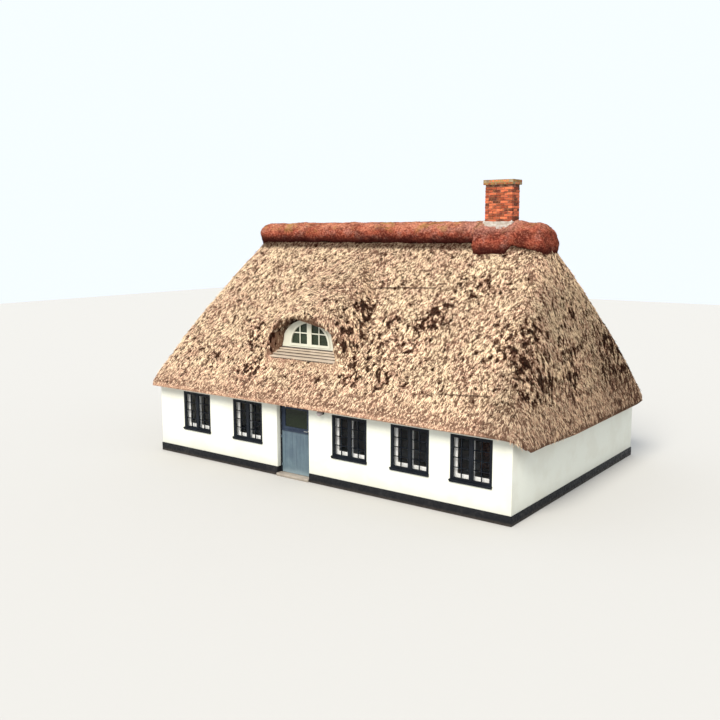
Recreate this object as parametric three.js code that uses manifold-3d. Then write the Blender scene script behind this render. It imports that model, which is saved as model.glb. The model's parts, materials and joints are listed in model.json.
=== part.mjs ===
// Thatched cottage: limewashed walls on a tarred plinth, a hipped reed roof with an eyebrow dormer,
// a heather ridge and a brick chimney. Millimetres, +Z up, the front wall faces -Y.
import * as THREE from 'three';
import { mergeVertices } from 'three/addons/utils/BufferGeometryUtils.js';
import Module from 'manifold-3d';

const wasm = await Module();
wasm.setup();

// House: X runs along the front wall from its left corner, Y into the house from the front wall's face
const LENGTH = 11700;
const DEPTH = 7800;
const MID_Y = DEPTH / 2;
const WALL = 350;
const WALL_TOP = 2050;
const PLINTH_TOP = 240;
const PLINTH_PROUD = 20;
const FLOOR_TOP = 60;
const GAP = 0.3;

// Windows: five in front and four behind, all alike
const WINDOW_WIDTH = 1108;
const WINDOW_SILL = 820;
const WINDOW_HEAD = 1930;
const FRONT_WINDOWS = [994, 3023, 6575, 8407, 10094];
const BACK_WINDOWS = [1300, 3900, 6700, 9300];
const FRAME_BAR = 62;
const FRAME_FRONT = 6;
const FRAME_DEPTH = 84;
const MULLION = 76;
const GLASS_SETBACK = 54;
const GLASS_THICK = 6;
const SILL_HEIGHT = 70;
const SILL_PROUD = 52;
const SILL_OVERLAP = 24;

// Front door: a stable door whose two halves hang on the left jamb and open outward
const DOOR_LEFT = 4680;
const DOOR_RIGHT = 5800;
const DOOR_HEAD = 1990;
const DOOR_RECESS = 133;
const DOOR_FRAME_BAR = 55;
const DOOR_FRAME_DEPTH = 95;
const THRESHOLD_TOP = 80;
const THRESHOLD_PROUD = 60;
const LEAF_GAP = 7;
const LEAF_FOOT_GAP = 10;
const LEAF_THICK = 45;
const LEAF_SETBACK = 6;
const LOWER_LEAF_TOP = 1245;
const LEAF_RAIL = 105;
const LEDGE_HEIGHT = 42;
const LEDGE_PROUD = 28;
const LEDGE_INSET = 24;
const HANDLE_INSET = 62;
const HANDLE_Z = 1322;
const HANDLE = { rose: 36, roseTall: 48, roseThick: 8, neck: 16, lever: 118, reach: 58 };
const HINGE_X = DOOR_LEFT + DOOR_FRAME_BAR + LEAF_GAP / 2;
const HINGE_Y = DOOR_RECESS - 7;
const HINGE_HEIGHT = 70;
const HINGE_LUG = 24;
const KNUCKLE_RADIUS = 6;
const PIN_HOLE_RADIUS = 4;
const PIN_RADIUS = 3.6;
const LOWER_HINGES = [260, 1040];
const UPPER_HINGES = [1400, 1780];

// Outside lamp beside the door
const LAMP_X = 6270;
const LAMP_Z = 1942;
const LAMP_GLOBE = 80;
const LAMP_REACH = 120;
const LAMP_PLATE = { radius: 62, thick: 22 };
const LAMP_NECK = { radius: 34, start: 30 };

// Thatch: outlines in plan, followed from the eave (0) to the top (1)
const EAVE_Z = 2040;
const RIGHT_EAVE_Z = 1600;
const THATCH_TOP = 6550;
const FRONT_EAVE_OUT = 370;
const LEFT_EAVE_X = -392;
const RIGHT_EAVE_X = 12130;
const TOP_HALF = 130;
const TOP_LEFT_X = 1090;
const TOP_RIGHT_X = 10567;
const FRONT_BELLY = 125;
const LEFT_BELLY = 146;
const RIGHT_BELLY = 124;
const EAVE_RADIUS = 560;
const BACK_RIGHT_RADIUS = 760;
const TOP_RADIUS = 450;
const SIDE_THICK = 520;
const END_THICK = 450;
const CORNER_STEPS = 6;
const HIP_MEET = 160;
const HIP_CUT_BEYOND = 400;
const EAVE_NOSE = [[0, 30], [0.006, 6]];
const SLOPE_ROWS = [0.015, 0.1, 0.2, 0.3, 0.4, 0.5, 0.6, 0.7, 0.8, 0.88, 0.95, 1];
const INNER_ROWS = [0, 0.15, 0.3, 0.45, 0.6, 0.75, 0.86];
const INNER_DROP = 600;

// Dormer: a half-round window under an eyebrow of thatch
const DORMER_X = 5110;
const HOOD_FRONT_Y = 520;
const HOOD_BACK_Y = 3300;
const HOOD_WIDEST_Y = 1250;
const HOOD_FRONT_HALF = 1300;
const HOOD_WIDEST_HALF = 1610;
const HOOD_RISE = 1250;
const HOOD_SUNK = 300;
const HOOD_END_HALF = 60;
const HOOD_END_RISE = 20;
const HOOD_STATIONS = [HOOD_FRONT_Y, 640, 850, HOOD_WIDEST_Y, 1700, 2150, 2600, 3000, HOOD_BACK_Y];
const NICHE_FRONT_HALF = 1150;
const NICHE_FRONT_CROWN = 4290;
const NICHE_FRONT_SPRING = 3350;
const NICHE_MOUTH_Y = 380;
const NICHE_MOUTH_FLOOR = 3000;
const NICHE_LIP_FLOOR = 3115;
const NICHE_FRONT_POWER = 2.4;
const NICHE_HALF = 1030;
const NICHE_CROWN = 4220;
const NICHE_FLOOR = 3300;
const NICHE_SPRING = 3370;
const NICHE_POWER = 2.1;
const ALCOVE_BACK_Y = 2300;
const BOARD_Y = 900;
const BOARD_THICK = 40;
const DORMER_WINDOW_HALF = 715;
const DORMER_WINDOW_FOOT = 3470;
const DORMER_WINDOW_SPRING = 3530;
const DORMER_WINDOW_CROWN = 4180;
const DORMER_FRAME_BAR = 64;
const DORMER_FRAME_PROUD = 18;
const DORMER_MULLION = 84;
const DORMER_GLASS_SETBACK = 24;
const APRON_FRONT_Y = 550;
const APRON_FRONT_HALF = 1180;
const APRON_BACK_HALF = 980;
const APRON_FRONT_FOOT = 3125;
const APRON_BACK_FOOT = 3220;
const APRON_BOARDS = 4;
const APRON_FIRST_TOP = 3215;
const APRON_RISE = 57;
const APRON_FALL = 40;

// Heather ridge: a roll that is widest above its foot and tucks in below
const RIDGE_LEFT_X = 1010;
const RIDGE_RIGHT_X = 10760;
const RIDGE_TOP = 6860;
const RIDGE_RIGHT_TOP = 6900;
const RIDGE_HALF = 560;
const RIDGE_RIGHT_HALF = 620;
const RIDGE_FOOT = 6220;
const RIDGE_WIDEST = 0.42;
const RIDGE_TUCK = 0.14;
const RIDGE_FLANK = [1, 0.67, 0.33];
const RIDGE_STEPS = 12;
const RIDGE_END_SHARES = [0, 0.03, 0.12, 0.27, 0.5, 0.75, 1];
const RIDGE_DROP = 150;
const RIDGE_LEFT_END = { rounding: 130, narrowing: 0.86, crown: 6800, footDrop: 60, drop: 300 };
const RIDGE_RIGHT_END = { rounding: 400, narrowing: 0.6, crown: 6420, footDrop: 130, drop: 170 };
const SADDLE_POWER = 0.85;
const PATCH_LEFT_X = 8790;
const PATCH_RIGHT_X = 9770;
const PATCH_HALF = 720;
const PATCH_FOOT = 5900;

// Chimney
const CHIMNEY_LEFT_X = 8900;
const CHIMNEY_RIGHT_X = 9690;
const CHIMNEY_FRONT_Y = 3680;
const CHIMNEY_BACK_Y = 4120;
const CHIMNEY_TOP = 7790;
const CAP_TOP = 7920;
const CAP_PROUD = 40;
const CHIMNEY_SIDE = 120;
const HEARTH_HEIGHT = 300;
const FLASHING_FOOT = 6700;
const FLASHING_TOP = 6960;
const FLASHING_THICK = 45;

// Attic floor on the wall tops
const ATTIC_FLOOR_THICK = 100;
const ATTIC_FLOOR_INSET_Y = 300;
const ATTIC_FLOOR_INSET_X = 345;

// Boolean cutters run this far past the faces that they cut
const BEYOND = 50;
const ABOVE_ALL = 8000;

const finish = (color, roughness, metalness = 0) =>
  new THREE.MeshStandardMaterial({ color, roughness, metalness });
const materials = {
  limewash: finish(0xeeebe2, 0.9),
  tar: finish(0x16171a, 0.7),
  stone: finish(0xb9ac9b, 0.85),
  floor: finish(0x8f8579, 0.9),
  navyPaint: finish(0x1c2430, 0.45),
  doorPaint: finish(0x5d7480, 0.5),
  whitePaint: finish(0xdfe0d4, 0.55),
  greyBoard: finish(0xa89a8c, 0.85),
  glass: finish(0x20282a, 0.08),
  steel: finish(0xb8babb, 0.35, 1),
  lamp: finish(0xd8d2cc, 0.4),
  thatch: finish(0xa98d72, 1),
  heather: finish(0x6f4032, 1),
  brick: finish(0x9a4a33, 0.9),
  cement: finish(0xa69c90, 0.9),
  timber: finish(0x8a6f52, 0.8),
};

const mix = (from, to, share) => from + (to - from) * share;
const clamp = (value, low, high) => Math.min(Math.max(value, low), high);

// Geometry helpers
function block([x0, x1], [y0, y1], [z0, z1]) {
  const box = new THREE.BoxGeometry(x1 - x0, y1 - y0, z1 - z0);
  return box.translate((x0 + x1) / 2, (y0 + y1) / 2, (z0 + z1) / 2);
}

function solid(geometry) {
  const bare = new THREE.BufferGeometry();
  bare.setAttribute('position', geometry.getAttribute('position'));
  if (geometry.index) bare.setIndex(geometry.index);
  const merged = mergeVertices(bare, 1e-3);
  const vertProperties = new Float32Array(merged.getAttribute('position').array);
  const triVerts = new Uint32Array(merged.index.array);
  return new wasm.Manifold(new wasm.Mesh({ numProp: 3, vertProperties, triVerts }));
}

function geometryOf(body) {
  const mesh = body.getMesh();
  const geometry = new THREE.BufferGeometry();
  geometry.setAttribute('position', new THREE.BufferAttribute(mesh.vertProperties, mesh.numProp));
  geometry.setIndex(new THREE.BufferAttribute(mesh.triVerts, 1));
  geometry.computeVertexNormals();
  return geometry;
}

// A closed skin over rings of equal point count, each running counter-clockwise seen from the last ring
function loft(rings) {
  const count = rings[0].length;
  const points = rings.flat();
  const faces = [];
  for (let row = 0; row < rings.length - 1; row += 1) {
    for (let step = 0; step < count; step += 1) {
      const a = row * count + step;
      const b = row * count + ((step + 1) % count);
      faces.push(a, b, b + count, a, b + count, a + count);
    }
  }
  const closeEnd = (ring, start, flip) => {
    const middle = ring.reduce((sum, p) => sum.map((v, i) => v + p[i] / count), [0, 0, 0]);
    const centre = points.push(middle) - 1;
    for (let step = 0; step < count; step += 1) {
      const a = start + step;
      const b = start + ((step + 1) % count);
      faces.push(...(flip ? [centre, b, a] : [centre, a, b]));
    }
  };
  closeEnd(rings[0], 0, true);
  closeEnd(rings.at(-1), (rings.length - 1) * count, false);
  const geometry = new THREE.BufferGeometry();
  geometry.setAttribute('position', new THREE.Float32BufferAttribute(points.flat(), 3));
  geometry.setIndex(faces);
  return geometry;
}

const cottage = new THREE.Group();
const house = new THREE.Group();
cottage.add(house);

function add(name, geometry, material) {
  const shape = geometry instanceof THREE.BufferGeometry ? geometry : geometryOf(geometry);
  const mesh = new THREE.Mesh(shape, material);
  mesh.name = name;
  house.add(mesh);
  return mesh;
}

// Floor, plinth and threshold
function addBase() {
  const inner = [WALL, LENGTH - WALL];
  add('floor_slab', block(inner, [WALL, DEPTH - WALL], [0, FLOOR_TOP]), materials.floor);
  const proud = PLINTH_PROUD;
  const height = [0, PLINTH_TOP];
  const frontY = [-proud, WALL];
  const plinths = {
    plinth_front_left: [[-proud, DOOR_LEFT], frontY],
    plinth_front_right: [[DOOR_RIGHT, LENGTH + proud], frontY],
    plinth_back: [[-proud, LENGTH + proud], [DEPTH - WALL, DEPTH + proud]],
    plinth_left_end: [[-proud, WALL], [WALL, DEPTH - WALL]],
    plinth_right_end: [[LENGTH - WALL, LENGTH + proud], [WALL, DEPTH - WALL]],
  };
  for (const [name, [x, y]] of Object.entries(plinths)) add(name, block(x, y, height), materials.tar);
  const threshold = block([DOOR_LEFT, DOOR_RIGHT], [-THRESHOLD_PROUD, WALL], [0, THRESHOLD_TOP]);
  add('door_threshold', threshold, materials.stone);
}

// A wall along X with its window openings cut through
function windowWall(xRange, yRange, windows) {
  let wall = solid(block(xRange, yRange, [PLINTH_TOP, WALL_TOP]));
  for (const left of windows) {
    const hole = block(
      [left, left + WINDOW_WIDTH],
      [yRange[0] - BEYOND, yRange[1] + BEYOND],
      [WINDOW_SILL, WINDOW_HEAD],
    );
    wall = wall.subtract(solid(hole));
  }
  return wall;
}

function addWalls() {
  const front = [0, WALL];
  const back = [DEPTH - WALL, DEPTH];
  const between = [WALL, DEPTH - WALL];
  const height = [PLINTH_TOP, WALL_TOP];
  const leftWindows = FRONT_WINDOWS.filter((x) => x < DOOR_LEFT);
  const rightWindows = FRONT_WINDOWS.filter((x) => x > DOOR_LEFT);
  add('front_wall_left', windowWall([0, DOOR_LEFT], front, leftWindows), materials.limewash);
  add('front_wall_right', windowWall([DOOR_RIGHT, LENGTH], front, rightWindows), materials.limewash);
  const lintel = block([DOOR_LEFT, DOOR_RIGHT], front, [DOOR_HEAD, WALL_TOP]);
  add('front_wall_over_door', lintel, materials.limewash);
  add('back_wall', windowWall([0, LENGTH], back, BACK_WINDOWS), materials.limewash);
  add('left_end_wall', block([0, WALL], between, height), materials.limewash);
  add('right_end_wall', block([LENGTH - WALL, LENGTH], between, height), materials.limewash);
}

// A window in its own place: X across the opening, the room towards +Y, outer face of the wall at Y 0
function windowFrame() {
  const depth = [FRAME_FRONT, FRAME_FRONT + FRAME_DEPTH];
  const ring = solid(block([0, WINDOW_WIDTH], depth, [WINDOW_SILL, WINDOW_HEAD]));
  const clear = block(
    [FRAME_BAR, WINDOW_WIDTH - FRAME_BAR],
    [FRAME_FRONT - BEYOND, FRAME_FRONT + FRAME_DEPTH + BEYOND],
    [WINDOW_SILL + FRAME_BAR, WINDOW_HEAD - FRAME_BAR],
  );
  const middle = WINDOW_WIDTH / 2;
  const mullion = block(
    [middle - MULLION / 2, middle + MULLION / 2],
    [FRAME_FRONT, FRAME_FRONT + GLASS_SETBACK],
    [WINDOW_SILL + FRAME_BAR / 2, WINDOW_HEAD - FRAME_BAR / 2],
  );
  const sill = block(
    [-SILL_OVERLAP, WINDOW_WIDTH + SILL_OVERLAP],
    [-SILL_PROUD, -GAP],
    [WINDOW_SILL - SILL_HEIGHT / 2, WINDOW_SILL + SILL_HEIGHT / 2],
  );
  const tongue = block(
    [FRAME_BAR / 2, WINDOW_WIDTH - FRAME_BAR / 2],
    [-SILL_PROUD / 2, FRAME_FRONT + FRAME_DEPTH / 2],
    [WINDOW_SILL + GAP, WINDOW_SILL + SILL_HEIGHT / 2],
  );
  return geometryOf(ring.subtract(solid(clear)).add(solid(mullion)).add(solid(sill)).add(solid(tongue)));
}

function windowGlass() {
  const front = FRAME_FRONT + GLASS_SETBACK;
  return block(
    [FRAME_BAR, WINDOW_WIDTH - FRAME_BAR],
    [front, front + GLASS_THICK],
    [WINDOW_SILL + FRAME_BAR, WINDOW_HEAD - FRAME_BAR],
  );
}

function addWindows() {
  FRONT_WINDOWS.forEach((left, index) => {
    add(`front_window_${index + 1}`, windowFrame(), materials.navyPaint).position.x = left;
    add(`front_window_glass_${index + 1}`, windowGlass(), materials.glass).position.x = left;
  });
  BACK_WINDOWS.forEach((left, index) => {
    const frame = add(`back_window_${index + 1}`, windowFrame(), materials.navyPaint);
    frame.rotation.z = Math.PI;
    frame.position.set(left + WINDOW_WIDTH, DEPTH, 0);
  });
  const sheetX = [BACK_WINDOWS[0] - FRAME_BAR, BACK_WINDOWS.at(-1) + WINDOW_WIDTH + FRAME_BAR];
  const sheetY = [DEPTH - WALL - GLASS_THICK, DEPTH - WALL];
  const sheet = block(sheetX, sheetY, [WINDOW_SILL - FRAME_BAR, WINDOW_HEAD + FRAME_BAR]);
  add('back_windows_glass', sheet, materials.glass);
}

// Front door
const leafLeft = DOOR_LEFT + DOOR_FRAME_BAR + LEAF_GAP;
const leafRight = DOOR_RIGHT - DOOR_FRAME_BAR - LEAF_GAP;
const leafFront = DOOR_RECESS + LEAF_SETBACK;
const leafBack = leafFront + LEAF_THICK;

function hingePost(radius, [z0, z1]) {
  const post = new THREE.CylinderGeometry(radius, radius, z1 - z0, 16).rotateX(Math.PI / 2);
  return solid(post.translate(HINGE_X, HINGE_Y, (z0 + z1) / 2));
}

// The jamb carries a lug with an upright pin for each hinge
function hingePin(z) {
  const lugZ = [z - HINGE_LUG, z - GAP];
  const arm = block(
    [HINGE_X - 30, DOOR_LEFT + DOOR_FRAME_BAR],
    [HINGE_Y - KNUCKLE_RADIUS, DOOR_RECESS + 2],
    lugZ,
  );
  const pin = hingePost(PIN_RADIUS, [z - 10, z + HINGE_HEIGHT]);
  return hingePost(KNUCKLE_RADIUS, lugZ).add(pin).add(solid(arm));
}

// The leaf carries a bored knuckle that drops over the pin
function hingeKnuckle(z) {
  const height = [z, z + HINGE_HEIGHT];
  const arm = block([HINGE_X + 2, leafLeft + 20], [HINGE_Y - 4, leafFront + 2], height);
  const bore = hingePost(PIN_HOLE_RADIUS, [z - 10, z + HINGE_HEIGHT + 10]);
  return hingePost(KNUCKLE_RADIUS, height).add(solid(arm)).subtract(bore);
}

function doorFrame() {
  const outer = block(
    [DOOR_LEFT, DOOR_RIGHT],
    [DOOR_RECESS, DOOR_RECESS + DOOR_FRAME_DEPTH],
    [THRESHOLD_TOP, DOOR_HEAD],
  );
  const clear = block(
    [DOOR_LEFT + DOOR_FRAME_BAR, DOOR_RIGHT - DOOR_FRAME_BAR],
    [0, WALL],
    [0, DOOR_HEAD - DOOR_FRAME_BAR],
  );
  const pins = [...LOWER_HINGES, ...UPPER_HINGES].map(hingePin);
  return pins.reduce((frame, pin) => frame.add(pin), solid(outer).subtract(solid(clear)));
}

function lowerLeaf() {
  const leaf = block(
    [leafLeft, leafRight],
    [leafFront, leafBack],
    [THRESHOLD_TOP + LEAF_FOOT_GAP, LOWER_LEAF_TOP],
  );
  return LOWER_HINGES.map(hingeKnuckle).reduce((whole, knuckle) => whole.add(knuckle), solid(leaf));
}

function upperLeaf() {
  const foot = LOWER_LEAF_TOP + LEAF_GAP;
  const head = DOOR_HEAD - DOOR_FRAME_BAR - LEAF_GAP;
  const leaf = solid(block([leafLeft, leafRight], [leafFront, leafBack], [foot, head]));
  const clear = block(
    [leafLeft + LEAF_RAIL, leafRight - LEAF_RAIL],
    [leafFront - BEYOND, leafBack + BEYOND],
    [foot + LEAF_RAIL, head - LEAF_RAIL / 2],
  );
  const ledge = block(
    [leafLeft + LEDGE_INSET, leafRight - LEDGE_INSET],
    [leafFront - LEDGE_PROUD, leafFront + 5],
    [foot, foot + LEDGE_HEIGHT],
  );
  const glazed = leaf.subtract(solid(clear)).add(solid(ledge));
  return UPPER_HINGES.map(hingeKnuckle).reduce((whole, knuckle) => whole.add(knuckle), glazed);
}

function upperLeafGlass() {
  const foot = LOWER_LEAF_TOP + LEAF_GAP;
  const head = DOOR_HEAD - DOOR_FRAME_BAR - LEAF_GAP;
  const middle = (leafFront + leafBack) / 2;
  return block(
    [leafLeft + LEAF_RAIL, leafRight - LEAF_RAIL],
    [middle - GLASS_THICK / 2, middle + GLASS_THICK / 2],
    [foot + LEAF_RAIL, head - LEAF_RAIL / 2],
  );
}

function doorHandle() {
  const { rose: roseWide, roseTall, roseThick, neck: thick, lever: length, reach } = HANDLE;
  const x = leafRight - HANDLE_INSET;
  const span = (middle, width) => [middle - width / 2, middle + width / 2];
  const rose = block(span(x, roseWide), [leafFront - roseThick, leafFront], span(HANDLE_Z, roseTall));
  const neckY = [leafFront - reach + thick / 2, leafFront - roseThick / 2];
  const neck = block(span(x, thick), neckY, span(HANDLE_Z, thick));
  const leverY = [leafFront - reach, leafFront - reach + thick];
  const lever = block([x - length, x + thick / 2], leverY, span(HANDLE_Z, thick));
  return solid(rose).add(solid(neck)).add(solid(lever));
}

function addDoor() {
  add('door_frame', doorFrame(), materials.navyPaint);
  add('door_lower_leaf', lowerLeaf(), materials.doorPaint);
  add('door_upper_leaf', upperLeaf(), materials.navyPaint);
  add('door_glass', upperLeafGlass(), materials.glass);
  add('door_handle', doorHandle(), materials.steel);
}

// Lamp: a wall plate, a neck and a round shade, turned about an axis that runs out of the wall
function addLamp() {
  const profile = [
    [0, 0],
    [LAMP_PLATE.radius, 0],
    [LAMP_PLATE.radius, LAMP_PLATE.thick],
    [LAMP_NECK.radius, LAMP_NECK.start],
  ];
  const steps = 8;
  const first = Math.asin(LAMP_NECK.radius / LAMP_GLOBE);
  for (let step = 0; step < steps; step += 1) {
    const angle = mix(first, Math.PI, step / steps);
    profile.push([LAMP_GLOBE * Math.sin(angle), LAMP_REACH - LAMP_GLOBE * Math.cos(angle)]);
  }
  profile.push([0, LAMP_REACH + LAMP_GLOBE]);
  const outline = profile.map(([radius, out]) => new THREE.Vector2(radius, out));
  const lamp = new THREE.LatheGeometry(outline, 20).rotateX(Math.PI);
  lamp.translate(LAMP_X, -GAP, LAMP_Z);
  add('wall_lamp', solid(lamp), materials.lamp);
}

// Thatch outline at a share of the height; the right eave hangs lower, so its corners droop
function thatchRing(share, sideInset, endInset, lower = 0, backRightRadius = BACK_RIGHT_RADIUS) {
  const belly = 4 * share * (1 - share);
  const front = mix(-FRONT_EAVE_OUT, MID_Y - TOP_HALF, share) - FRONT_BELLY * belly + sideInset;
  const back = DEPTH - front;
  const left = mix(LEFT_EAVE_X, TOP_LEFT_X, share) - LEFT_BELLY * belly + endInset;
  const right = mix(RIGHT_EAVE_X, TOP_RIGHT_X, share) + RIGHT_BELLY * belly - endInset;
  const cornerRadius = (atEave) => (
    clamp(mix(atEave, TOP_RADIUS, share) - endInset / 2, 60, (back - front) / 2 - 5)
  );
  const usual = cornerRadius(EAVE_RADIUS);
  const wide = cornerRadius(backRightRadius);
  const corners = [
    { x: right - usual, y: front + usual, radius: usual, start: -90, droop: [0, 1] },
    { x: right - wide, y: back - wide, radius: wide, start: 0, droop: [1, 0] },
    { x: left + usual, y: back - usual, radius: usual, start: 90, droop: [0, 0] },
    { x: left + usual, y: front + usual, radius: usual, start: 180, droop: [0, 0] },
  ];
  return corners.flatMap(({ x, y, radius, start, droop }) => {
    const points = [];
    for (let step = 0; step <= CORNER_STEPS; step += 1) {
      const angle = THREE.MathUtils.degToRad(start + (90 * step) / CORNER_STEPS);
      const amount = mix(droop[0], droop[1], step / CORNER_STEPS);
      const eave = mix(EAVE_Z, RIGHT_EAVE_Z, amount * amount * (3 - 2 * amount));
      points.push([
        x + radius * Math.cos(angle),
        y + radius * Math.sin(angle),
        mix(eave, THATCH_TOP, share) - lower,
      ]);
    }
    return points;
  });
}

function thatchOutside(grow) {
  const noseRing = ([share, inset]) => thatchRing(share, inset - grow, inset - grow, grow);
  const slopeRing = (share) => thatchRing(share, -grow, -grow, -grow);
  return solid(loft([...EAVE_NOSE.map(noseRing), ...SLOPE_ROWS.map(slopeRing)]));
}

function thatchInside() {
  const row = (share, lower) => thatchRing(share, SIDE_THICK, END_THICK, lower, EAVE_RADIUS);
  return solid(loft([row(0, INNER_DROP), ...INNER_ROWS.map((share) => row(share, 0))]));
}

// Height of the front slope at a distance into the house
function slopeHeight(y) {
  const bend = 4 * FRONT_BELLY;
  const run = MID_Y - TOP_HALF + FRONT_EAVE_OUT - bend;
  const share = (Math.sqrt(run * run + 4 * bend * (y + FRONT_EAVE_OUT)) - run) / (2 * bend);
  return mix(EAVE_Z, THATCH_TOP, share);
}

// Half-round outline in a plane of constant Y, closed along its foot
function archRing(y, half, springZ, crownZ, footZ, power = 2) {
  const steps = 16;
  const points = [];
  for (let step = 0; step <= steps; step += 1) {
    const angle = (Math.PI * step) / steps;
    const across = Math.sign(Math.cos(angle)) * Math.abs(Math.cos(angle)) ** (2 / power);
    const up = Math.sin(angle) ** (2 / power);
    points.push([DORMER_X + half * across, y, mix(springZ, crownZ, up)]);
  }
  points.push([DORMER_X - half, y, footZ], [DORMER_X + half, y, footZ]);
  return points.reverse();
}

function hood() {
  const rings = HOOD_STATIONS.map((y) => {
    const along = (y - HOOD_FRONT_Y) / (HOOD_BACK_Y - HOOD_FRONT_Y);
    const spread = (y - HOOD_FRONT_Y) / (HOOD_WIDEST_Y - HOOD_FRONT_Y);
    const taper = (y - HOOD_WIDEST_Y) / (HOOD_BACK_Y - HOOD_WIDEST_Y);
    const half = y < HOOD_WIDEST_Y
      ? mix(HOOD_FRONT_HALF, HOOD_WIDEST_HALF, Math.sin((spread * Math.PI) / 2))
      : HOOD_WIDEST_HALF * (1 - taper ** 1.5) + HOOD_END_HALF * taper;
    const rise = HOOD_RISE * (1 - along) ** 1.1 + HOOD_END_RISE;
    const foot = slopeHeight(y);
    return archRing(y, half, foot, foot + rise, foot - HOOD_SUNK);
  });
  return solid(loft(rings));
}

function niche() {
  const front = [NICHE_FRONT_HALF, NICHE_FRONT_SPRING, NICHE_FRONT_CROWN];
  const inner = [NICHE_HALF, NICHE_SPRING, NICHE_CROWN, NICHE_FLOOR, NICHE_POWER];
  return solid(loft([
    archRing(NICHE_MOUTH_Y, ...front, NICHE_MOUTH_FLOOR, NICHE_FRONT_POWER),
    archRing(HOOD_FRONT_Y, ...front, NICHE_LIP_FLOOR, NICHE_FRONT_POWER),
    archRing(BOARD_Y, ...inner),
    archRing(ALCOVE_BACK_Y, ...inner),
  ]));
}

// Stepped weatherboards from the window down to the thatch, wider at the foot
function apron(grow) {
  const profile = new THREE.Shape();
  const run = (BOARD_Y - APRON_FRONT_Y) / APRON_BOARDS;
  const back = BOARD_Y - GAP + grow;
  profile.moveTo(APRON_FRONT_Y - grow, APRON_FRONT_FOOT - grow);
  for (let board = 0; board < APRON_BOARDS; board += 1) {
    const nose = APRON_FRONT_Y + board * run - grow;
    const top = APRON_FIRST_TOP + board * APRON_RISE + grow;
    profile.lineTo(nose, top);
    profile.lineTo(board === APRON_BOARDS - 1 ? back : nose + run, top + APRON_FALL);
  }
  profile.lineTo(back, APRON_BACK_FOOT - grow);
  profile.closePath();
  const geometry = new THREE.ExtrudeGeometry(profile, { depth: 2, bevelEnabled: false });
  const position = geometry.getAttribute('position');
  for (let index = 0; index < position.count; index += 1) {
    const side = position.getZ(index) > 1 ? 1 : -1;
    const y = position.getX(index);
    const z = position.getY(index);
    const along = (y - APRON_FRONT_Y) / (BOARD_Y - APRON_FRONT_Y);
    const half = mix(APRON_FRONT_HALF, APRON_BACK_HALF, along) - GAP + grow;
    position.setXYZ(index, DORMER_X + side * half, y, z);
  }
  return solid(geometry);
}

function chimneyBlock(grow, z) {
  return solid(block(
    [CHIMNEY_LEFT_X - grow, CHIMNEY_RIGHT_X + grow],
    [CHIMNEY_FRONT_Y - grow, CHIMNEY_BACK_Y + grow],
    z,
  ));
}

// Thin cuts along the ridge and the hips part the thatch into its four slopes
function thatchCuts() {
  const leftMeet = [TOP_LEFT_X + HIP_MEET, MID_Y];
  const rightMeet = [TOP_RIGHT_X - HIP_MEET, MID_Y];
  const saw = ([x0, y0], [x1, y1], beyond) => {
    const reach = Math.hypot(x1 - x0, y1 - y0) + beyond;
    const angle = Math.atan2(y1 - y0, x1 - x0);
    const cut = new THREE.BoxGeometry(reach, GAP, ABOVE_ALL).translate(reach / 2, 0, ABOVE_ALL / 2);
    return solid(cut.rotateZ(angle).translate(x0, y0, 0));
  };
  const eaveCorners = [
    [leftMeet, [LEFT_EAVE_X, -FRONT_EAVE_OUT]],
    [leftMeet, [LEFT_EAVE_X, DEPTH + FRONT_EAVE_OUT]],
    [rightMeet, [RIGHT_EAVE_X, -FRONT_EAVE_OUT]],
    [rightMeet, [RIGHT_EAVE_X, DEPTH + FRONT_EAVE_OUT]],
  ];
  const hips = eaveCorners.map(([meet, corner]) => saw(meet, corner, HIP_CUT_BEYOND));
  return hips.reduce((all, hip) => all.add(hip), saw(leftMeet, rightMeet, 0));
}

function addThatch() {
  const room = block([-GAP, LENGTH + GAP], [-GAP, DEPTH + GAP], [0, WALL_TOP + GAP]);
  const shell = thatchOutside(0)
    .add(hood())
    .subtract(thatchInside())
    .subtract(solid(room))
    .subtract(niche())
    .subtract(apron(GAP))
    .subtract(chimneyBlock(GAP, [0, ABOVE_ALL]));
  const slopes = shell.subtract(thatchCuts()).decompose();
  for (const slope of slopes) {
    const { min, max } = slope.boundingBox();
    const wide = max[0] - min[0] > LENGTH / 2;
    const front = (min[1] + max[1]) / 2 < MID_Y;
    const left = (min[0] + max[0]) / 2 < LENGTH / 2;
    const side = wide ? (front ? 'front' : 'back') : (left ? 'left_hip' : 'right_hip');
    add(`thatch_${side}`, slope, materials.thatch);
  }
}

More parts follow.
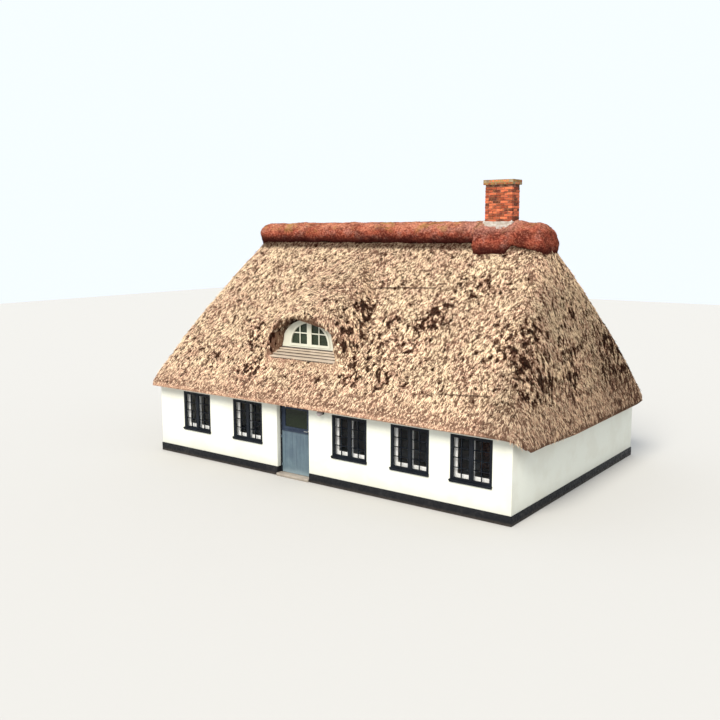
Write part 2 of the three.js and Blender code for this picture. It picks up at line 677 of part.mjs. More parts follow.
function addDormer() {
  const plate = (y, ...shape) => solid(loft(y.map((at) => archRing(at, ...shape))));
  const opening = (inset, y) => plate(
    y,
    DORMER_WINDOW_HALF - inset,
    DORMER_WINDOW_SPRING,
    DORMER_WINDOW_CROWN - inset,
    DORMER_WINDOW_FOOT + inset,
  );
  const board = plate(
    [BOARD_Y, BOARD_Y + BOARD_THICK],
    NICHE_HALF - GAP,
    NICHE_SPRING,
    NICHE_CROWN - GAP,
    NICHE_FLOOR + GAP,
    NICHE_POWER,
  );
  const through = [BOARD_Y - BEYOND, BOARD_Y + BOARD_THICK + BEYOND];
  add('dormer_board', board.subtract(opening(0, through)), materials.whitePaint);
  const frameY = [BOARD_Y - DORMER_FRAME_PROUD, BOARD_Y + BOARD_THICK + 12];
  const glassY = [BOARD_Y + DORMER_GLASS_SETBACK, BOARD_Y + DORMER_GLASS_SETBACK + GLASS_THICK];
  const bar = DORMER_FRAME_BAR;
  const mullion = block(
    [DORMER_X - DORMER_MULLION / 2, DORMER_X + DORMER_MULLION / 2],
    [frameY[0], glassY[0]],
    [DORMER_WINDOW_FOOT + bar / 2, DORMER_WINDOW_CROWN - bar / 2],
  );
  const frame = opening(GAP, frameY).subtract(opening(bar, through)).add(solid(mullion));
  add('dormer_window', frame, materials.whitePaint);
  add('dormer_glass', opening(bar + GAP, glassY), materials.glass);
  add('dormer_apron', apron(0), materials.greyBoard);
}

// Section of the heather roll in a plane of constant X, with legs that reach down into the thatch
function saddleRing(x, half, footZ, topZ, drop) {
  const widestZ = mix(footZ, topZ, RIDGE_WIDEST);
  const flank = (side, down) => [
    x,
    MID_Y + side * half * (1 - RIDGE_TUCK * down ** 2),
    mix(widestZ, footZ, down),
  ];
  const points = RIDGE_FLANK.map((down) => flank(1, down));
  for (let step = 0; step <= RIDGE_STEPS; step += 1) {
    const angle = (Math.PI * step) / RIDGE_STEPS;
    const across = Math.sign(Math.cos(angle)) * Math.abs(Math.cos(angle)) ** SADDLE_POWER;
    points.push([x, MID_Y + half * across, mix(widestZ, topZ, Math.sin(angle) ** SADDLE_POWER)]);
  }
  points.push(...RIDGE_FLANK.toReversed().map((down) => flank(-1, down)));
  const tucked = half * (1 - RIDGE_TUCK);
  points.push([x, MID_Y - tucked, footZ - drop], [x, MID_Y + tucked, footZ - drop]);
  return points;
}

// Rounded ends come from a quarter ellipse over the last stretch of the ridge
function ridgeEnd(x, closed, half, top, { rounding, narrowing, crown, footDrop, drop }) {
  const away = clamp(Math.abs(x - closed) / rounding, 0, 1);
  const full = Math.sqrt(1 - (1 - away) ** 2);
  return saddleRing(
    x,
    half * mix(narrowing, 1, full),
    RIDGE_FOOT - (1 - full) * footDrop,
    mix(crown, top, full),
    mix(drop, RIDGE_DROP, full),
  );
}

function addRidge() {
  const thatch = thatchOutside(GAP);
  const leftRings = RIDGE_END_SHARES.map((share) => ridgeEnd(
    RIDGE_LEFT_X + share * RIDGE_LEFT_END.rounding,
    RIDGE_LEFT_X,
    RIDGE_HALF,
    RIDGE_TOP,
    RIDGE_LEFT_END,
  ));
  leftRings.push(saddleRing(PATCH_LEFT_X - GAP, RIDGE_HALF, RIDGE_FOOT, RIDGE_TOP, RIDGE_DROP));
  add('ridge_main', solid(loft(leftRings)).subtract(thatch), materials.heather);
  const rightRings = RIDGE_END_SHARES.toReversed().map((share) => ridgeEnd(
    RIDGE_RIGHT_X - share * RIDGE_RIGHT_END.rounding,
    RIDGE_RIGHT_X,
    RIDGE_RIGHT_HALF,
    RIDGE_RIGHT_TOP,
    RIDGE_RIGHT_END,
  ));
  const start = saddleRing(PATCH_RIGHT_X + GAP, RIDGE_RIGHT_HALF, RIDGE_FOOT, RIDGE_RIGHT_TOP, RIDGE_DROP);
  add('ridge_right_end', solid(loft([start, ...rightRings])).subtract(thatch), materials.heather);
  const patch = solid(loft([PATCH_LEFT_X, PATCH_RIGHT_X].map(
    (x) => saddleRing(x, PATCH_HALF, PATCH_FOOT, RIDGE_TOP, RIDGE_DROP),
  )));
  const around = patch.subtract(thatch).subtract(chimneyBlock(GAP, [0, ABOVE_ALL]));
  const halves = { front: [0, MID_Y - GAP / 2], back: [MID_Y + GAP / 2, DEPTH] };
  for (const [side, y] of Object.entries(halves)) {
    const half = around.intersect(solid(block([0, LENGTH], y, [0, ABOVE_ALL])));
    add(`ridge_patch_${side}`, half, materials.heather);
  }
}

function addChimney() {
  const flue = solid(block(
    [CHIMNEY_LEFT_X + CHIMNEY_SIDE, CHIMNEY_RIGHT_X - CHIMNEY_SIDE],
    [CHIMNEY_FRONT_Y + CHIMNEY_SIDE, CHIMNEY_BACK_Y - CHIMNEY_SIDE],
    [FLOOR_TOP + HEARTH_HEIGHT, CAP_TOP + BEYOND],
  ));
  const shaft = chimneyBlock(0, [FLOOR_TOP, CHIMNEY_TOP]).subtract(flue);
  add('chimney_shaft', shaft, materials.brick);
  const cap = chimneyBlock(CAP_PROUD, [CHIMNEY_TOP, CAP_TOP]).subtract(flue);
  add('chimney_cap', cap, materials.brick);
}

function addFlashing() {
  const ring = chimneyBlock(FLASHING_THICK, [FLASHING_FOOT, FLASHING_TOP]);
  const clear = chimneyBlock(GAP, [0, ABOVE_ALL]);
  const saddle = solid(loft([PATCH_LEFT_X - BEYOND, PATCH_RIGHT_X + BEYOND].map(
    (x) => saddleRing(x, PATCH_HALF + GAP, PATCH_FOOT, RIDGE_RIGHT_TOP + GAP, RIDGE_DROP),
  )));
  add('chimney_flashing', ring.subtract(clear).subtract(saddle), materials.cement);
}

function addAtticFloor() {
  const slab = solid(block(
    [ATTIC_FLOOR_INSET_X, LENGTH - ATTIC_FLOOR_INSET_X],
    [ATTIC_FLOOR_INSET_Y, DEPTH - ATTIC_FLOOR_INSET_Y],
    [WALL_TOP, WALL_TOP + ATTIC_FLOOR_THICK],
  ));
  add('attic_floor', slab.subtract(chimneyBlock(GAP, [0, ABOVE_ALL])), materials.timber);
}

addBase();
addWalls();
addWindows();
addDoor();
addLamp();
addThatch();
addDormer();
addRidge();
addChimney();
addFlashing();
addAtticFloor();

// The origin lies on the ground, under the middle of the whole outline
const outline = new THREE.Box3().setFromObject(house);
const centre = outline.getCenter(new THREE.Vector3()).round();
house.position.set(-centre.x, -centre.y, 0);

export default cottage;
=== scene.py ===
# Thatched cottage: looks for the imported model. Metres, +Z up, the front wall faces -Y.
import json
import math
import random

import bpy
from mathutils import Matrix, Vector

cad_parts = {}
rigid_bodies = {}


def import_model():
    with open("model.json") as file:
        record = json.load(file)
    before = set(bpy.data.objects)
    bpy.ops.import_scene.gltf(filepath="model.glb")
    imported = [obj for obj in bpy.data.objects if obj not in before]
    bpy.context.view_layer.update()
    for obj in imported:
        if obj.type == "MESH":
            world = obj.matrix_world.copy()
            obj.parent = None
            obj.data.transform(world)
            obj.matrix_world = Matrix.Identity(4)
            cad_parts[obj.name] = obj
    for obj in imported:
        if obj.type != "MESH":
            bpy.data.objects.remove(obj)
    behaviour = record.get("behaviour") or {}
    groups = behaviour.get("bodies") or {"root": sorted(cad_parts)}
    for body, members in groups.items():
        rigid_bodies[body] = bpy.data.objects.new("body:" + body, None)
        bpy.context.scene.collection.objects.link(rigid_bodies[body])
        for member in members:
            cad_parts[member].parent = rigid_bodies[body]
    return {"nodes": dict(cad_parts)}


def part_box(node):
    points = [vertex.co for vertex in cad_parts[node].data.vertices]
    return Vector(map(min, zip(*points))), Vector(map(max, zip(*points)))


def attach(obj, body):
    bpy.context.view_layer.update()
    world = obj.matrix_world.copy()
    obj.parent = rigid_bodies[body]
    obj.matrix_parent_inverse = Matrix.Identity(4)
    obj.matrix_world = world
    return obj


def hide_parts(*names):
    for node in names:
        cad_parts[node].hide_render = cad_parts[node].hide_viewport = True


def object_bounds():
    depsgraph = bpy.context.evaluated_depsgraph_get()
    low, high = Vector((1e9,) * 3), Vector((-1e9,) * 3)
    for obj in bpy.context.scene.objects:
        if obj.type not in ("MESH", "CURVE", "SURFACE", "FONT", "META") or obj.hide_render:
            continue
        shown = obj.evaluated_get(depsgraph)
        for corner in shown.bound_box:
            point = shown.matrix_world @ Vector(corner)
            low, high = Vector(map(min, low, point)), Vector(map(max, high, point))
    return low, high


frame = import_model()
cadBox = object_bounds()
print("frame loaded")

# Camera, at the photo's place
cameraPlace = {
    "location": (14.0803, -20.7182, 6.5807),
    "rotation": (81.431, 0.092, 36.53),
    "lens": 42.67,
}
cameraData = bpy.data.cameras.new("camera")
cameraData.lens = cameraPlace["lens"]
cameraData.sensor_width = 36.0
cameraData.clip_end = 300.0
camera = bpy.data.objects.new("camera", cameraData)
camera.location = cameraPlace["location"]
camera.rotation_euler = [math.radians(angle) for angle in cameraPlace["rotation"]]
bpy.context.collection.objects.link(camera)
bpy.context.scene.camera = camera

# Light: a soft sun from the front left, and an even sky
light = {
    "sunColour": (1.0, 0.955, 0.88),
    "sunStrength": 3.9,
    "sunSoftness": 28.0,
    "sunFrom": (0.12, -0.92, 0.88),
    "skyColour": (0.86, 0.92, 1.0),
    "skyStrength": 1.08,
    "floorColour": (0.50, 0.485, 0.455, 1.0),
    "floorSize": 120.0,
    "floorLevel": -0.002,
}
sunData = bpy.data.lights.new("sun", "SUN")
sunData.energy = light["sunStrength"]
sunData.angle = math.radians(light["sunSoftness"])
sunData.color = light["sunColour"]
sun = bpy.data.objects.new("sun", sunData)
sun.rotation_euler = Vector(light["sunFrom"]).to_track_quat("Z", "Y").to_euler()
bpy.context.collection.objects.link(sun)
world = bpy.data.worlds.new("sky")
world.use_nodes = True
skyLight = world.node_tree.nodes["Background"]
skyLight.inputs["Color"].default_value = (*light["skyColour"], 1.0)
skyLight.inputs["Strength"].default_value = light["skyStrength"]
bpy.context.scene.world = world
bpy.context.scene.view_settings.view_transform = "Standard"
print("camera and light set")


# Node helpers. A Field holds an output socket, so that a sum of values is written as a sum
class Field:
    def __init__(self, socket):
        self.socket = socket

    def __add__(self, other):
        return calculate("ADD", self, other)

    def __sub__(self, other):
        return calculate("SUBTRACT", self, other)

    def __mul__(self, other):
        return calculate("MULTIPLY", self, other)

    def __truediv__(self, other):
        return calculate("DIVIDE", self, other)

    def __abs__(self):
        return calculate("ABSOLUTE", self, 0.0)

    def __gt__(self, other):
        return calculate("GREATER_THAN", self, other)

    def __lt__(self, other):
        return calculate("LESS_THAN", self, other)


def fill(node, sockets):
    for key, value in sockets.items():
        if isinstance(value, Field):
            node.id_data.links.new(value.socket, node.inputs[key])
        else:
            node.inputs[key].default_value = value


def setAll(thing, settings):
    for key, value in settings.items():
        setattr(thing, key, value)


# Adds a node to the tree that its inputs come from, and gives one of its outputs
def put(kind, sockets, out=0, tree=None, **settings):
    if tree is None:
        tree = [value.socket.id_data for value in sockets.values() if isinstance(value, Field)][0]
    node = tree.nodes.new(kind)
    setAll(node, settings)
    fill(node, sockets)
    return Field(node.outputs[out])


def calculate(operation, a, b, **settings):
    return put("ShaderNodeMath", {0: a, 1: b}, operation=operation, **settings)


def vectorMath(operation, sockets, out=0):
    return put("ShaderNodeVectorMath", sockets, out, operation=operation)


def mixColour(amount, a, b, blend="MIX"):
    return put("ShaderNodeMix", {0: amount, 6: a, 7: b}, 2, data_type="RGBA", blend_type=blend)


def spread(value, low, high, newLow=0.0, newHigh=1.0, interpolation="SMOOTHSTEP"):
    sockets = {"Value": value, "From Min": low, "From Max": high, "To Min": newLow, "To Max": newHigh}
    return put("ShaderNodeMapRange", sockets, interpolation_type=interpolation)


# Noise hardly leaves 0.3 to 0.7: this stretches it over a range
def ranging(value, low, high):
    return spread(value, 0.3, 0.7, low, high)


def noise(vector, scale, detail=3.0, roughness=0.6, out=0):
    sockets = {"Vector": vector, "Scale": scale, "Detail": detail, "Roughness": roughness}
    return put("ShaderNodeTexNoise", sockets, out)


def stretched(vector, scale, rotation=(0, 0, 0)):
    return put("ShaderNodeMapping", {"Vector": vector, "Scale": scale, "Rotation": rotation})


def axes(vector):
    separate = put("ShaderNodeSeparateXYZ", {0: vector}).socket.node
    return [Field(output) for output in separate.outputs]


def attribute(place, name):
    return put("ShaderNodeAttribute", {}, "Fac", place.socket.id_data, attribute_name=name)


def newGroup(name, inputs, outputs):
    kinds = {1: "NodeSocketFloat", 3: "NodeSocketVector", 4: "NodeSocketColor"}
    group = bpy.data.node_groups.new(name, "ShaderNodeTree")
    for label, value in inputs.items():
        size = 1 if isinstance(value, float) else len(value)
        group.interface.new_socket(label, in_out="INPUT", socket_type=kinds[size]).default_value = value
    for label, size in outputs.items():
        group.interface.new_socket(label, in_out="OUTPUT", socket_type=kinds[size])
    given = group.nodes.new("NodeGroupInput").outputs
    return [Field(given[label]) for label in inputs], group.nodes.new("NodeGroupOutput")


# Two colours blended by noise at one scale
def buildMottle():
    (place, scale, low, high, colour, patch, amount), result = newGroup(
        "mottle",
        {"Vector": (0, 0, 0), "Scale": 4.0, "Low": 0.35, "High": 0.65, "Colour": (1, 1, 1, 1),
         "Patch Colour": (0, 0, 0, 1), "Amount": 1.0},
        {"Colour": 4, "Mask": 1},
    )
    ramp = spread(noise(place, scale, 5.0), low, high)
    mask = calculate("MULTIPLY", ramp, amount, use_clamp=True)
    fill(result, {"Colour": mixColour(mask, colour, patch), "Mask": mask})
    return result.id_data


# Fine lines that run one way, for wood grain and reed
def buildGrain():
    (place, fineness, length), result = newGroup(
        "grain", {"Vector": (0, 0, 0), "Fineness": 60.0, "Length": (1, 1, 0.04)}, {"Mask": 1, "Height": 1})
    along = vectorMath("MULTIPLY", {0: place, 1: length})
    height = noise(along, fineness, 4.0, 0.65) * 0.6 + noise(along, fineness * 0.22, 2.0) * 0.4
    fill(result, {"Mask": spread(height, 0.38, 0.62), "Height": height})
    return result.id_data


# Dirt that climbs from a level, thinning upwards with a ragged top
def buildRisingDirt():
    (place, foot, reach, amount), result = newGroup(
        "risingDirt", {"Vector": (0, 0, 0), "Foot": 0.0, "Reach": 0.4, "Amount": 1.0}, {"Mask": 1})
    height = axes(place)[2]
    fade = spread((height - foot) / reach + noise(place, 5.0, 6.0, 0.7) * 0.5, 1.1, 0.1)
    fill(result, {"Mask": calculate("MULTIPLY", fade, amount, use_clamp=True)})
    return result.id_data


# Where brown moss lies on the roof, and where painted shade lies in the dormer's niche and along the crease
# beside its hood: soft ellipsoids, as (middle, radii, strength, turn in degrees)
mossAndShadePatches = [
    ((0.64, -2.35, 4.45), (0.26, 0.60, 0.50), 1.0),
    ((0.75, -2.95, 3.75), (0.36, 0.70, 0.75), 1.0),
    ((1.00, -3.48, 3.00), (0.36, 0.50, 0.45), 1.0),
    ((1.45, -2.60, 4.00), (0.55, 0.70, 0.55), 0.62),
    ((1.80, -3.20, 3.30), (0.60, 0.60, 0.50), 0.62),
    ((2.45, -2.70, 3.95), (0.42, 0.60, 0.60), 1.0),
    ((2.75, -2.25, 4.40), (0.26, 0.55, 0.55), 1.0),
    ((3.05, -1.75, 4.95), (0.22, 0.45, 0.45), 0.45),
    ((2.05, -3.60, 2.85), (0.35, 0.45, 0.40), 0.6),
    ((-2.40, -3.65, 2.75), (0.55, 0.50, 0.42), 0.9),
    ((-2.75, -2.95, 3.60), (0.26, 0.50, 0.45), 0.85),
    # The next two are painted shade rather than moss: a strip along the crease left of the dormer's hood,
    # and the left cheek of the dormer's niche
    ((-2.20, -2.25, 4.45), (0.10, 0.12, 0.75), 0.9, (0, 42, 45)),
    ((-1.85, -3.20, 3.62), (0.22, 0.35, 0.50), 0.85),
    ((-3.90, -3.60, 2.85), (0.55, 0.50, 0.40), 0.4),
    ((3.60, -1.40, 5.25), (0.60, 0.60, 0.45), 0.4),
    ((4.95, -2.65, 3.95), (0.34, 0.60, 0.60), 0.8),
    ((5.42, -2.25, 4.15), (0.34, 0.42, 0.50), 1.0),
    ((5.78, -2.10, 3.55), (0.26, 0.34, 0.50), 1.0),
    ((5.70, -2.65, 3.25), (0.48, 0.85, 1.10), 0.9),
    ((5.95, -0.90, 3.20), (0.60, 0.80, 0.85), 0.7),
    ((5.44, -0.05, 4.60), (0.25, 0.18, 0.28), 1.0),
    ((5.95, 2.40, 2.95), (0.70, 1.40, 1.20), 0.4),
    ((-1.50, 3.00, 3.30), (1.20, 0.80, 0.80), 0.8),
    ((3.60, 2.60, 3.80), (1.00, 0.90, 0.90), 0.7),
    ((-4.50, 1.80, 4.20), (0.80, 0.90, 0.90), 0.6),
    ((-5.70, -0.80, 2.90), (0.60, 1.30, 0.80), 0.6),
]
mossReach = 1.3


def buildMossAndShadeMask():
    (place,), result = newGroup("mossAndShadeMask", {"Vector": (0, 0, 0)}, {"Mask": 1})
    centre = (0.5, 0.5, 0.5)
    wobble = vectorMath("SUBTRACT", {0: noise(place, 1.6, 4.0, 0.5, 1), 1: centre})
    moved = vectorMath("MULTIPLY_ADD", {0: wobble, 1: centre, 2: place})
    total = 0.0
    for middle, radii, strength, *turn in mossAndShadePatches:
        sockets = {"Vector": moved, "Location": middle, "Scale": [mossReach * radius for radius in radii]}
        for angles in turn:
            sockets["Rotation"] = [math.radians(angle) for angle in angles]
        inPatch = put("ShaderNodeMapping", sockets, vector_type="TEXTURE")
        ball = put("ShaderNodeTexGradient", {"Vector": inPatch}, 1, gradient_type="SPHERICAL")
        total = calculate("MAXIMUM", total, spread(ball, 0.0, 0.45) * strength)
    fill(result, {"Mask": total})
    return result.id_data


mottle = buildMottle()
grain = buildGrain()
risingDirt = buildRisingDirt()
mossAndShadeMask = buildMossAndShadeMask()


def useGroup(group, sockets):
    node = sockets["Vector"].socket.id_data.nodes.new("ShaderNodeGroup")
    node.node_tree = group
    fill(node, sockets)
    return [Field(output) for output in node.outputs]


# Gives the colour and the mask
def mottled(place, scale, colour, patch, low=0.35, high=0.65, amount=1.0):
    return useGroup(mottle, {"Vector": place, "Scale": scale, "Colour": colour, "Patch Colour": patch,
                             "Low": low, "High": high, "Amount": amount})


# Gives the mask and the height
def grained(place, fineness, lengthways):
    return useGroup(grain, {"Vector": place, "Fineness": fineness, "Length": lengthways})


def dirtied(place, colour, dirt, foot, reach, amount):
    mask = useGroup(risingDirt, {"Vector": place, "Foot": foot, "Reach": reach, "Amount": amount})[0]
    return mixColour(mask, colour, dirt)


def startMaterial(name, roughness, metallic=0.0, shine=0.5):
    material = bpy.data.materials.new(name)
    material.use_nodes = True
    nodes = material.node_tree.nodes
    sockets = {"Roughness": roughness, "Metallic": metallic, "Specular IOR Level": shine}
    fill(nodes["Principled BSDF"], sockets)
    return material, Field(nodes.new("ShaderNodeTexCoord").outputs["Object"])


# The bump is (height, strength, distance)
def endMaterial(material, colour, bump=None, **others):
    sockets = {"Base Color": colour, **others}
    if bump:
        sockets["Normal"] = put("ShaderNodeBump", dict(zip(("Height", "Strength", "Distance"), bump)))
    fill(material.node_tree.nodes["Principled BSDF"], sockets)
    return material


def rgb(r, g, b):
    return (r, g, b, 1.0)


def dimmed(colour, factor):
    return rgb(*[value * factor for value in colour[:3]])


# Limewash over uneven render, dirtier at the foot
def makeLimewash(name):
    material, place = startMaterial(name, 0.92)
    warm = mottled(place, 1.3, rgb(0.725, 0.73, 0.640), rgb(0.69, 0.685, 0.590), 0.42, 0.62)[0]
    dusty = mottled(place, 9.0, warm, rgb(0.71, 0.70, 0.62), 0.5, 0.72, 0.45)[0]
    colour = dirtied(place, dusty, rgb(0.52, 0.50, 0.42), 0.20, 0.38, 0.4)
    brushed = noise(stretched(place, (9.0, 9.0, 60.0)), 1.0, 4.0)
    height = noise(place, 2.2, 3.0) + noise(place, 22.0, 5.0, 0.7) * 0.28 + brushed * 0.10
    return endMaterial(material, colour, (height, 0.55, 0.02))


def makeTar(name):
    material, place = startMaterial(name, 0.6, 0.0, 0.2)
    worn = mottled(place, 6.0, rgb(0.006, 0.0065, 0.008), rgb(0.022, 0.021, 0.021), 0.48, 0.72, 0.8)[0]
    colour = dirtied(place, worn, rgb(0.09, 0.072, 0.056), 0.0, 0.12, 0.5)
    rough = ranging(noise(place, 14.0, 4.0), 0.42, 0.85)
    return endMaterial(material, colour, (noise(place, 18.0, 5.0, 0.7), 0.7, 0.015), Roughness=rough)


def makeStone(name, colour, patch, foot):
    material, place = startMaterial(name, 0.85)
    worn = mottled(place, 5.0, colour, patch)[0]
    shade = dirtied(place, worn, rgb(0.20, 0.17, 0.13), foot, 0.12, 0.7)
    pits = noise(place, 60.0, 5.0, 0.7)
    bump = (noise(place, 7.0) + pits * 0.4, 0.6, 0.01)
    return endMaterial(material, shade, bump, Roughness=ranging(pits, 0.7, 0.95))


# Brush-painted wood: grain telling through, chalky patches and worn arrises
def makePaint(name, colour, faded, wear=0.5, shine=0.5, roughness=0.5):
    material, place = startMaterial(name, roughness, 0.0, shine)
    lines, height = grained(place, 55.0, (1, 1, 0.04))
    chalky = mottled(place, 3.4, colour, faded, 0.40, 0.70, wear)[0]
    shade = mixColour(lines * (0.35 * wear), chalky, faded)
    gloss = ranging(noise(place, 11.0, 4.0), roughness - 0.12, roughness + 0.16)
    return endMaterial(material, shade, (height, 0.35, 0.003), Roughness=gloss)


# The lower leaf's paint is washed out low down, where feet and rain reach it
def makeDoorPaint(name):
    material, place = startMaterial(name, 0.5)
    lines, height = grained(place, 46.0, (1, 1, 0.05))
    chalky = mottled(place, 2.6, rgb(0.055, 0.086, 0.115), rgb(0.080, 0.126, 0.152), 0.38, 0.70, 0.7)[0]
    shade = dirtied(place, chalky, rgb(0.125, 0.176, 0.190), 0.02, 0.75, 0.5)
    shade = dirtied(place, shade, rgb(0.27, 0.34, 0.36), 0.05, 0.24, 0.7)
    shade = mixColour(lines * 0.25, shade, rgb(0.17, 0.23, 0.25))
    gloss = ranging(noise(place, 9.0, 4.0), 0.38, 0.66)
    return endMaterial(material, shade, (height, 0.35, 0.003), Roughness=gloss)


# Bare boards, silvered, with dark lines of grain along X
def makeGreyBoard(name, colour, dark, silver):
    material, place = startMaterial(name, 0.88)
    lines, height = grained(place, 42.0, (0.04, 1, 1))
    silvered = mottled(place, 2.6, colour, silver, 0.38, 0.66)[0]
    shade = mixColour(lines * 0.55, silvered, dark)
    return endMaterial(material, shade, (height, 0.8, 0.004), Roughness=ranging(height, 0.95, 0.7))


# Old panes: thin, a little wavy and smeared at the edges. Where `cover` is low they are clear enough to let
# daylight in; where it is high they are a dark, nearly opaque sheet, painted shade of the space behind
def makeGlass(name, tint, cover, waviness, shine):
    material, place = startMaterial(name, 0.04, 0.0, shine)
    colour, smear = mottled(place, 5.0, tint, dimmed(tint, 1.6), 0.45, 0.75, 0.8)
    return endMaterial(material, colour, (noise(place, 3.0, 1.0), waviness, 0.02),
                       Roughness=spread(smear, 0.0, 1.0, 0.03, 0.12),
                       Alpha=spread(smear, 0.0, 1.0, cover, cover + 0.1))


def makeMetal(name, colour, roughness):
    material, place = startMaterial(name, roughness, 1.0)
    dull = mottled(place, 60.0, colour, dimmed(colour, 0.6), amount=0.6)[0]
    return endMaterial(material, dull, Roughness=ranging(noise(place, 90.0), roughness, roughness + 0.25))


def makeOpal(name):
    material, place = startMaterial(name, 0.35)
    dusty = mottled(place, 14.0, rgb(0.42, 0.36, 0.35), rgb(0.26, 0.21, 0.20), amount=0.7)[0]
    return endMaterial(material, dusty)


# Painted shadow along the steps at the edges of two courses on the front slope, as (first x, last x, height
# there, rise in each metre)
courseStepShadows = [(0.35, 2.40, 5.04, 0.036), (3.70, 5.15, 2.77, 0.056)]


def courseStepShadowMask(place, across, inward, height):
    ragged = (noise(place, 6.0) - 0.5) * 0.09
    total = 0.0
    for first, last, level, climb in courseStepShadows:
        off = height + ragged - ((across - first) * climb + level)
        near = spread(abs(off), 0.028, 0.010) * spread(across, first - 0.1, first + 0.2)
        total = calculate("MAXIMUM", total, near * spread(across, last + 0.1, last - 0.2))
    return total * spread(inward, -0.3, -0.8)


# Reed: fine streaks down the slope, and dark flecks that crowd together where the mask of moss and painted
# shade is high
reed = {
    "pale": rgb(0.90, 0.655, 0.425),
    "pink": rgb(0.74, 0.440, 0.305),
    "straw": rgb(0.96, 0.77, 0.52),
    "brown": rgb(0.17, 0.080, 0.048),
    "rust": rgb(0.125, 0.046, 0.026),
    # The moss colour also paints shade: under the ridge, along the course steps and on the right hip's end
    "moss": rgb(0.030, 0.009, 0.005),
    "soot": rgb(0.005, 0.0025, 0.002),
    "flecks": (8.5, 8.5, 3.4),
    "openLevel": 0.620,
    "mossLevel": 0.500,
    "toneShare": 0.17,
    "rootShade": 0.55,
}


def makeReed(name):
    material, place = startMaterial(name, 0.93, 0.0, 0.0)
    tone, strand, tip = [attribute(place, label) for label in ("tone", "strand", "tip")]
    moss = useGroup(mossAndShadeMask, {"Vector": place})[0]
    across, inward, height = axes(place)
    patchy = spread(noise(place, 1.7, 5.0, 0.65), 0.42, 0.60)
    eaveBand = spread(height, 2.85, 2.2)
    pinkness = calculate("MAXIMUM", eaveBand * 0.7, patchy)
    base = mixColour(pinkness * 0.9, reed["pale"], reed["pink"])
    streaks = noise(stretched(place, (1.0, 1.0, 0.30)), 34.0, 3.0, 0.6)
    varied = tone * 0.4 + strand * 0.6
    toned = streaks + (varied - 0.5) * 0.36
    base = mixColour(spread(toned, 0.50, 0.62, 0.0, 0.95), base, reed["straw"])
    base = mixColour(spread(toned, 0.49, 0.38, 0.0, 0.85), base, reed["brown"])
    fine = noise(stretched(place, (15.0, 15.0, 6.0)), 1.0, 3.0, 0.6)
    base = mixColour(spread(fine, 0.55, 0.66, 0.0, 0.55), base, reed["brown"])
    flecks = noise(stretched(place, reed["flecks"]), 1.0, 4.0, 0.55)
    flecks = flecks + (varied - 0.5) * reed["toneShare"] * spread(tip, 0.0, 0.15)
    clumps = spread(noise(place, 2.4, 4.0, 0.6), 0.35, 0.65, 0.04, -0.04)
    # The right hip's end gets more dark flecks and a darker tint: moss, and painted shade
    hipEndMossAndShade = spread(across, 4.8, 5.8) * spread(height, 5.0, 3.6) * spread(inward, -0.2, 2.2)
    level = clumps + reed["openLevel"] + eaveBand * 0.03 - hipEndMossAndShade * 0.08
    above = flecks - (level + moss * (reed["mossLevel"] - reed["openLevel"]))
    darkColour = mixColour(spread(above, 0.008, 0.045), reed["rust"], reed["moss"])
    darkColour = mixColour(spread(fine, 0.45, 0.60, 0.0, 0.8), darkColour, reed["soot"])
    shade = mixColour(spread(above, -0.016, 0.014) * 0.97, base, darkColour)
    shade = mixColour(eaveBand * 0.14, shade, reed["pink"])
    shade = mixColour(hipEndMossAndShade * 0.22, shade, reed["moss"])
    # Painted shade on the reed just below the ridge's lower edge
    shade = mixColour(spread(height, 6.03, 6.15, 0.0, 0.8), shade, reed["moss"])
    # A thin line of painted shadow where the edge of a course steps down onto the next
    shade = mixColour(courseStepShadowMask(place, across, inward, height) * 0.75, shade, reed["moss"])
    # Painted shade: each tuft is darker towards its root, and the bare shell between tufts, whose tip is 0,
    # takes the full root shade
    lightness = spread(tip, 0.0, 0.8, reed["rootShade"], 1.0) * spread(varied, 0.1, 0.9, 0.80, 1.17)
    # Then the right hip, turned away from the sun, is painted darker as shade, and lightness rises with the
    # moss mask
    lightness = lightness * spread(across, 4.9, 5.4, 1.0, 0.68) * spread(moss, 0.0, 1.0, 1.0, 1.28)
    grey = put("ShaderNodeCombineXYZ", {0: lightness, 1: lightness, 2: lightness})
    shade = mixColour(1.0, shade, grey, "MULTIPLY")
    fibres = noise(stretched(place, (1.0, 1.0, 0.35)), 110.0, 3.0, 0.6)
    return endMaterial(material, shade, (fibres, 0.5, 0.006), Roughness=ranging(fibres, 0.85, 1.0))


heather = {
    "colour": rgb(0.29, 0.066, 0.038),
    "pale": rgb(0.60, 0.250, 0.150),
    "mauve": rgb(0.45, 0.240, 0.190),
    "dark": rgb(0.070, 0.014, 0.010),
    "moss": rgb(0.33, 0.20, 0.06),
    "shadow": rgb(0.030, 0.007, 0.006),
}


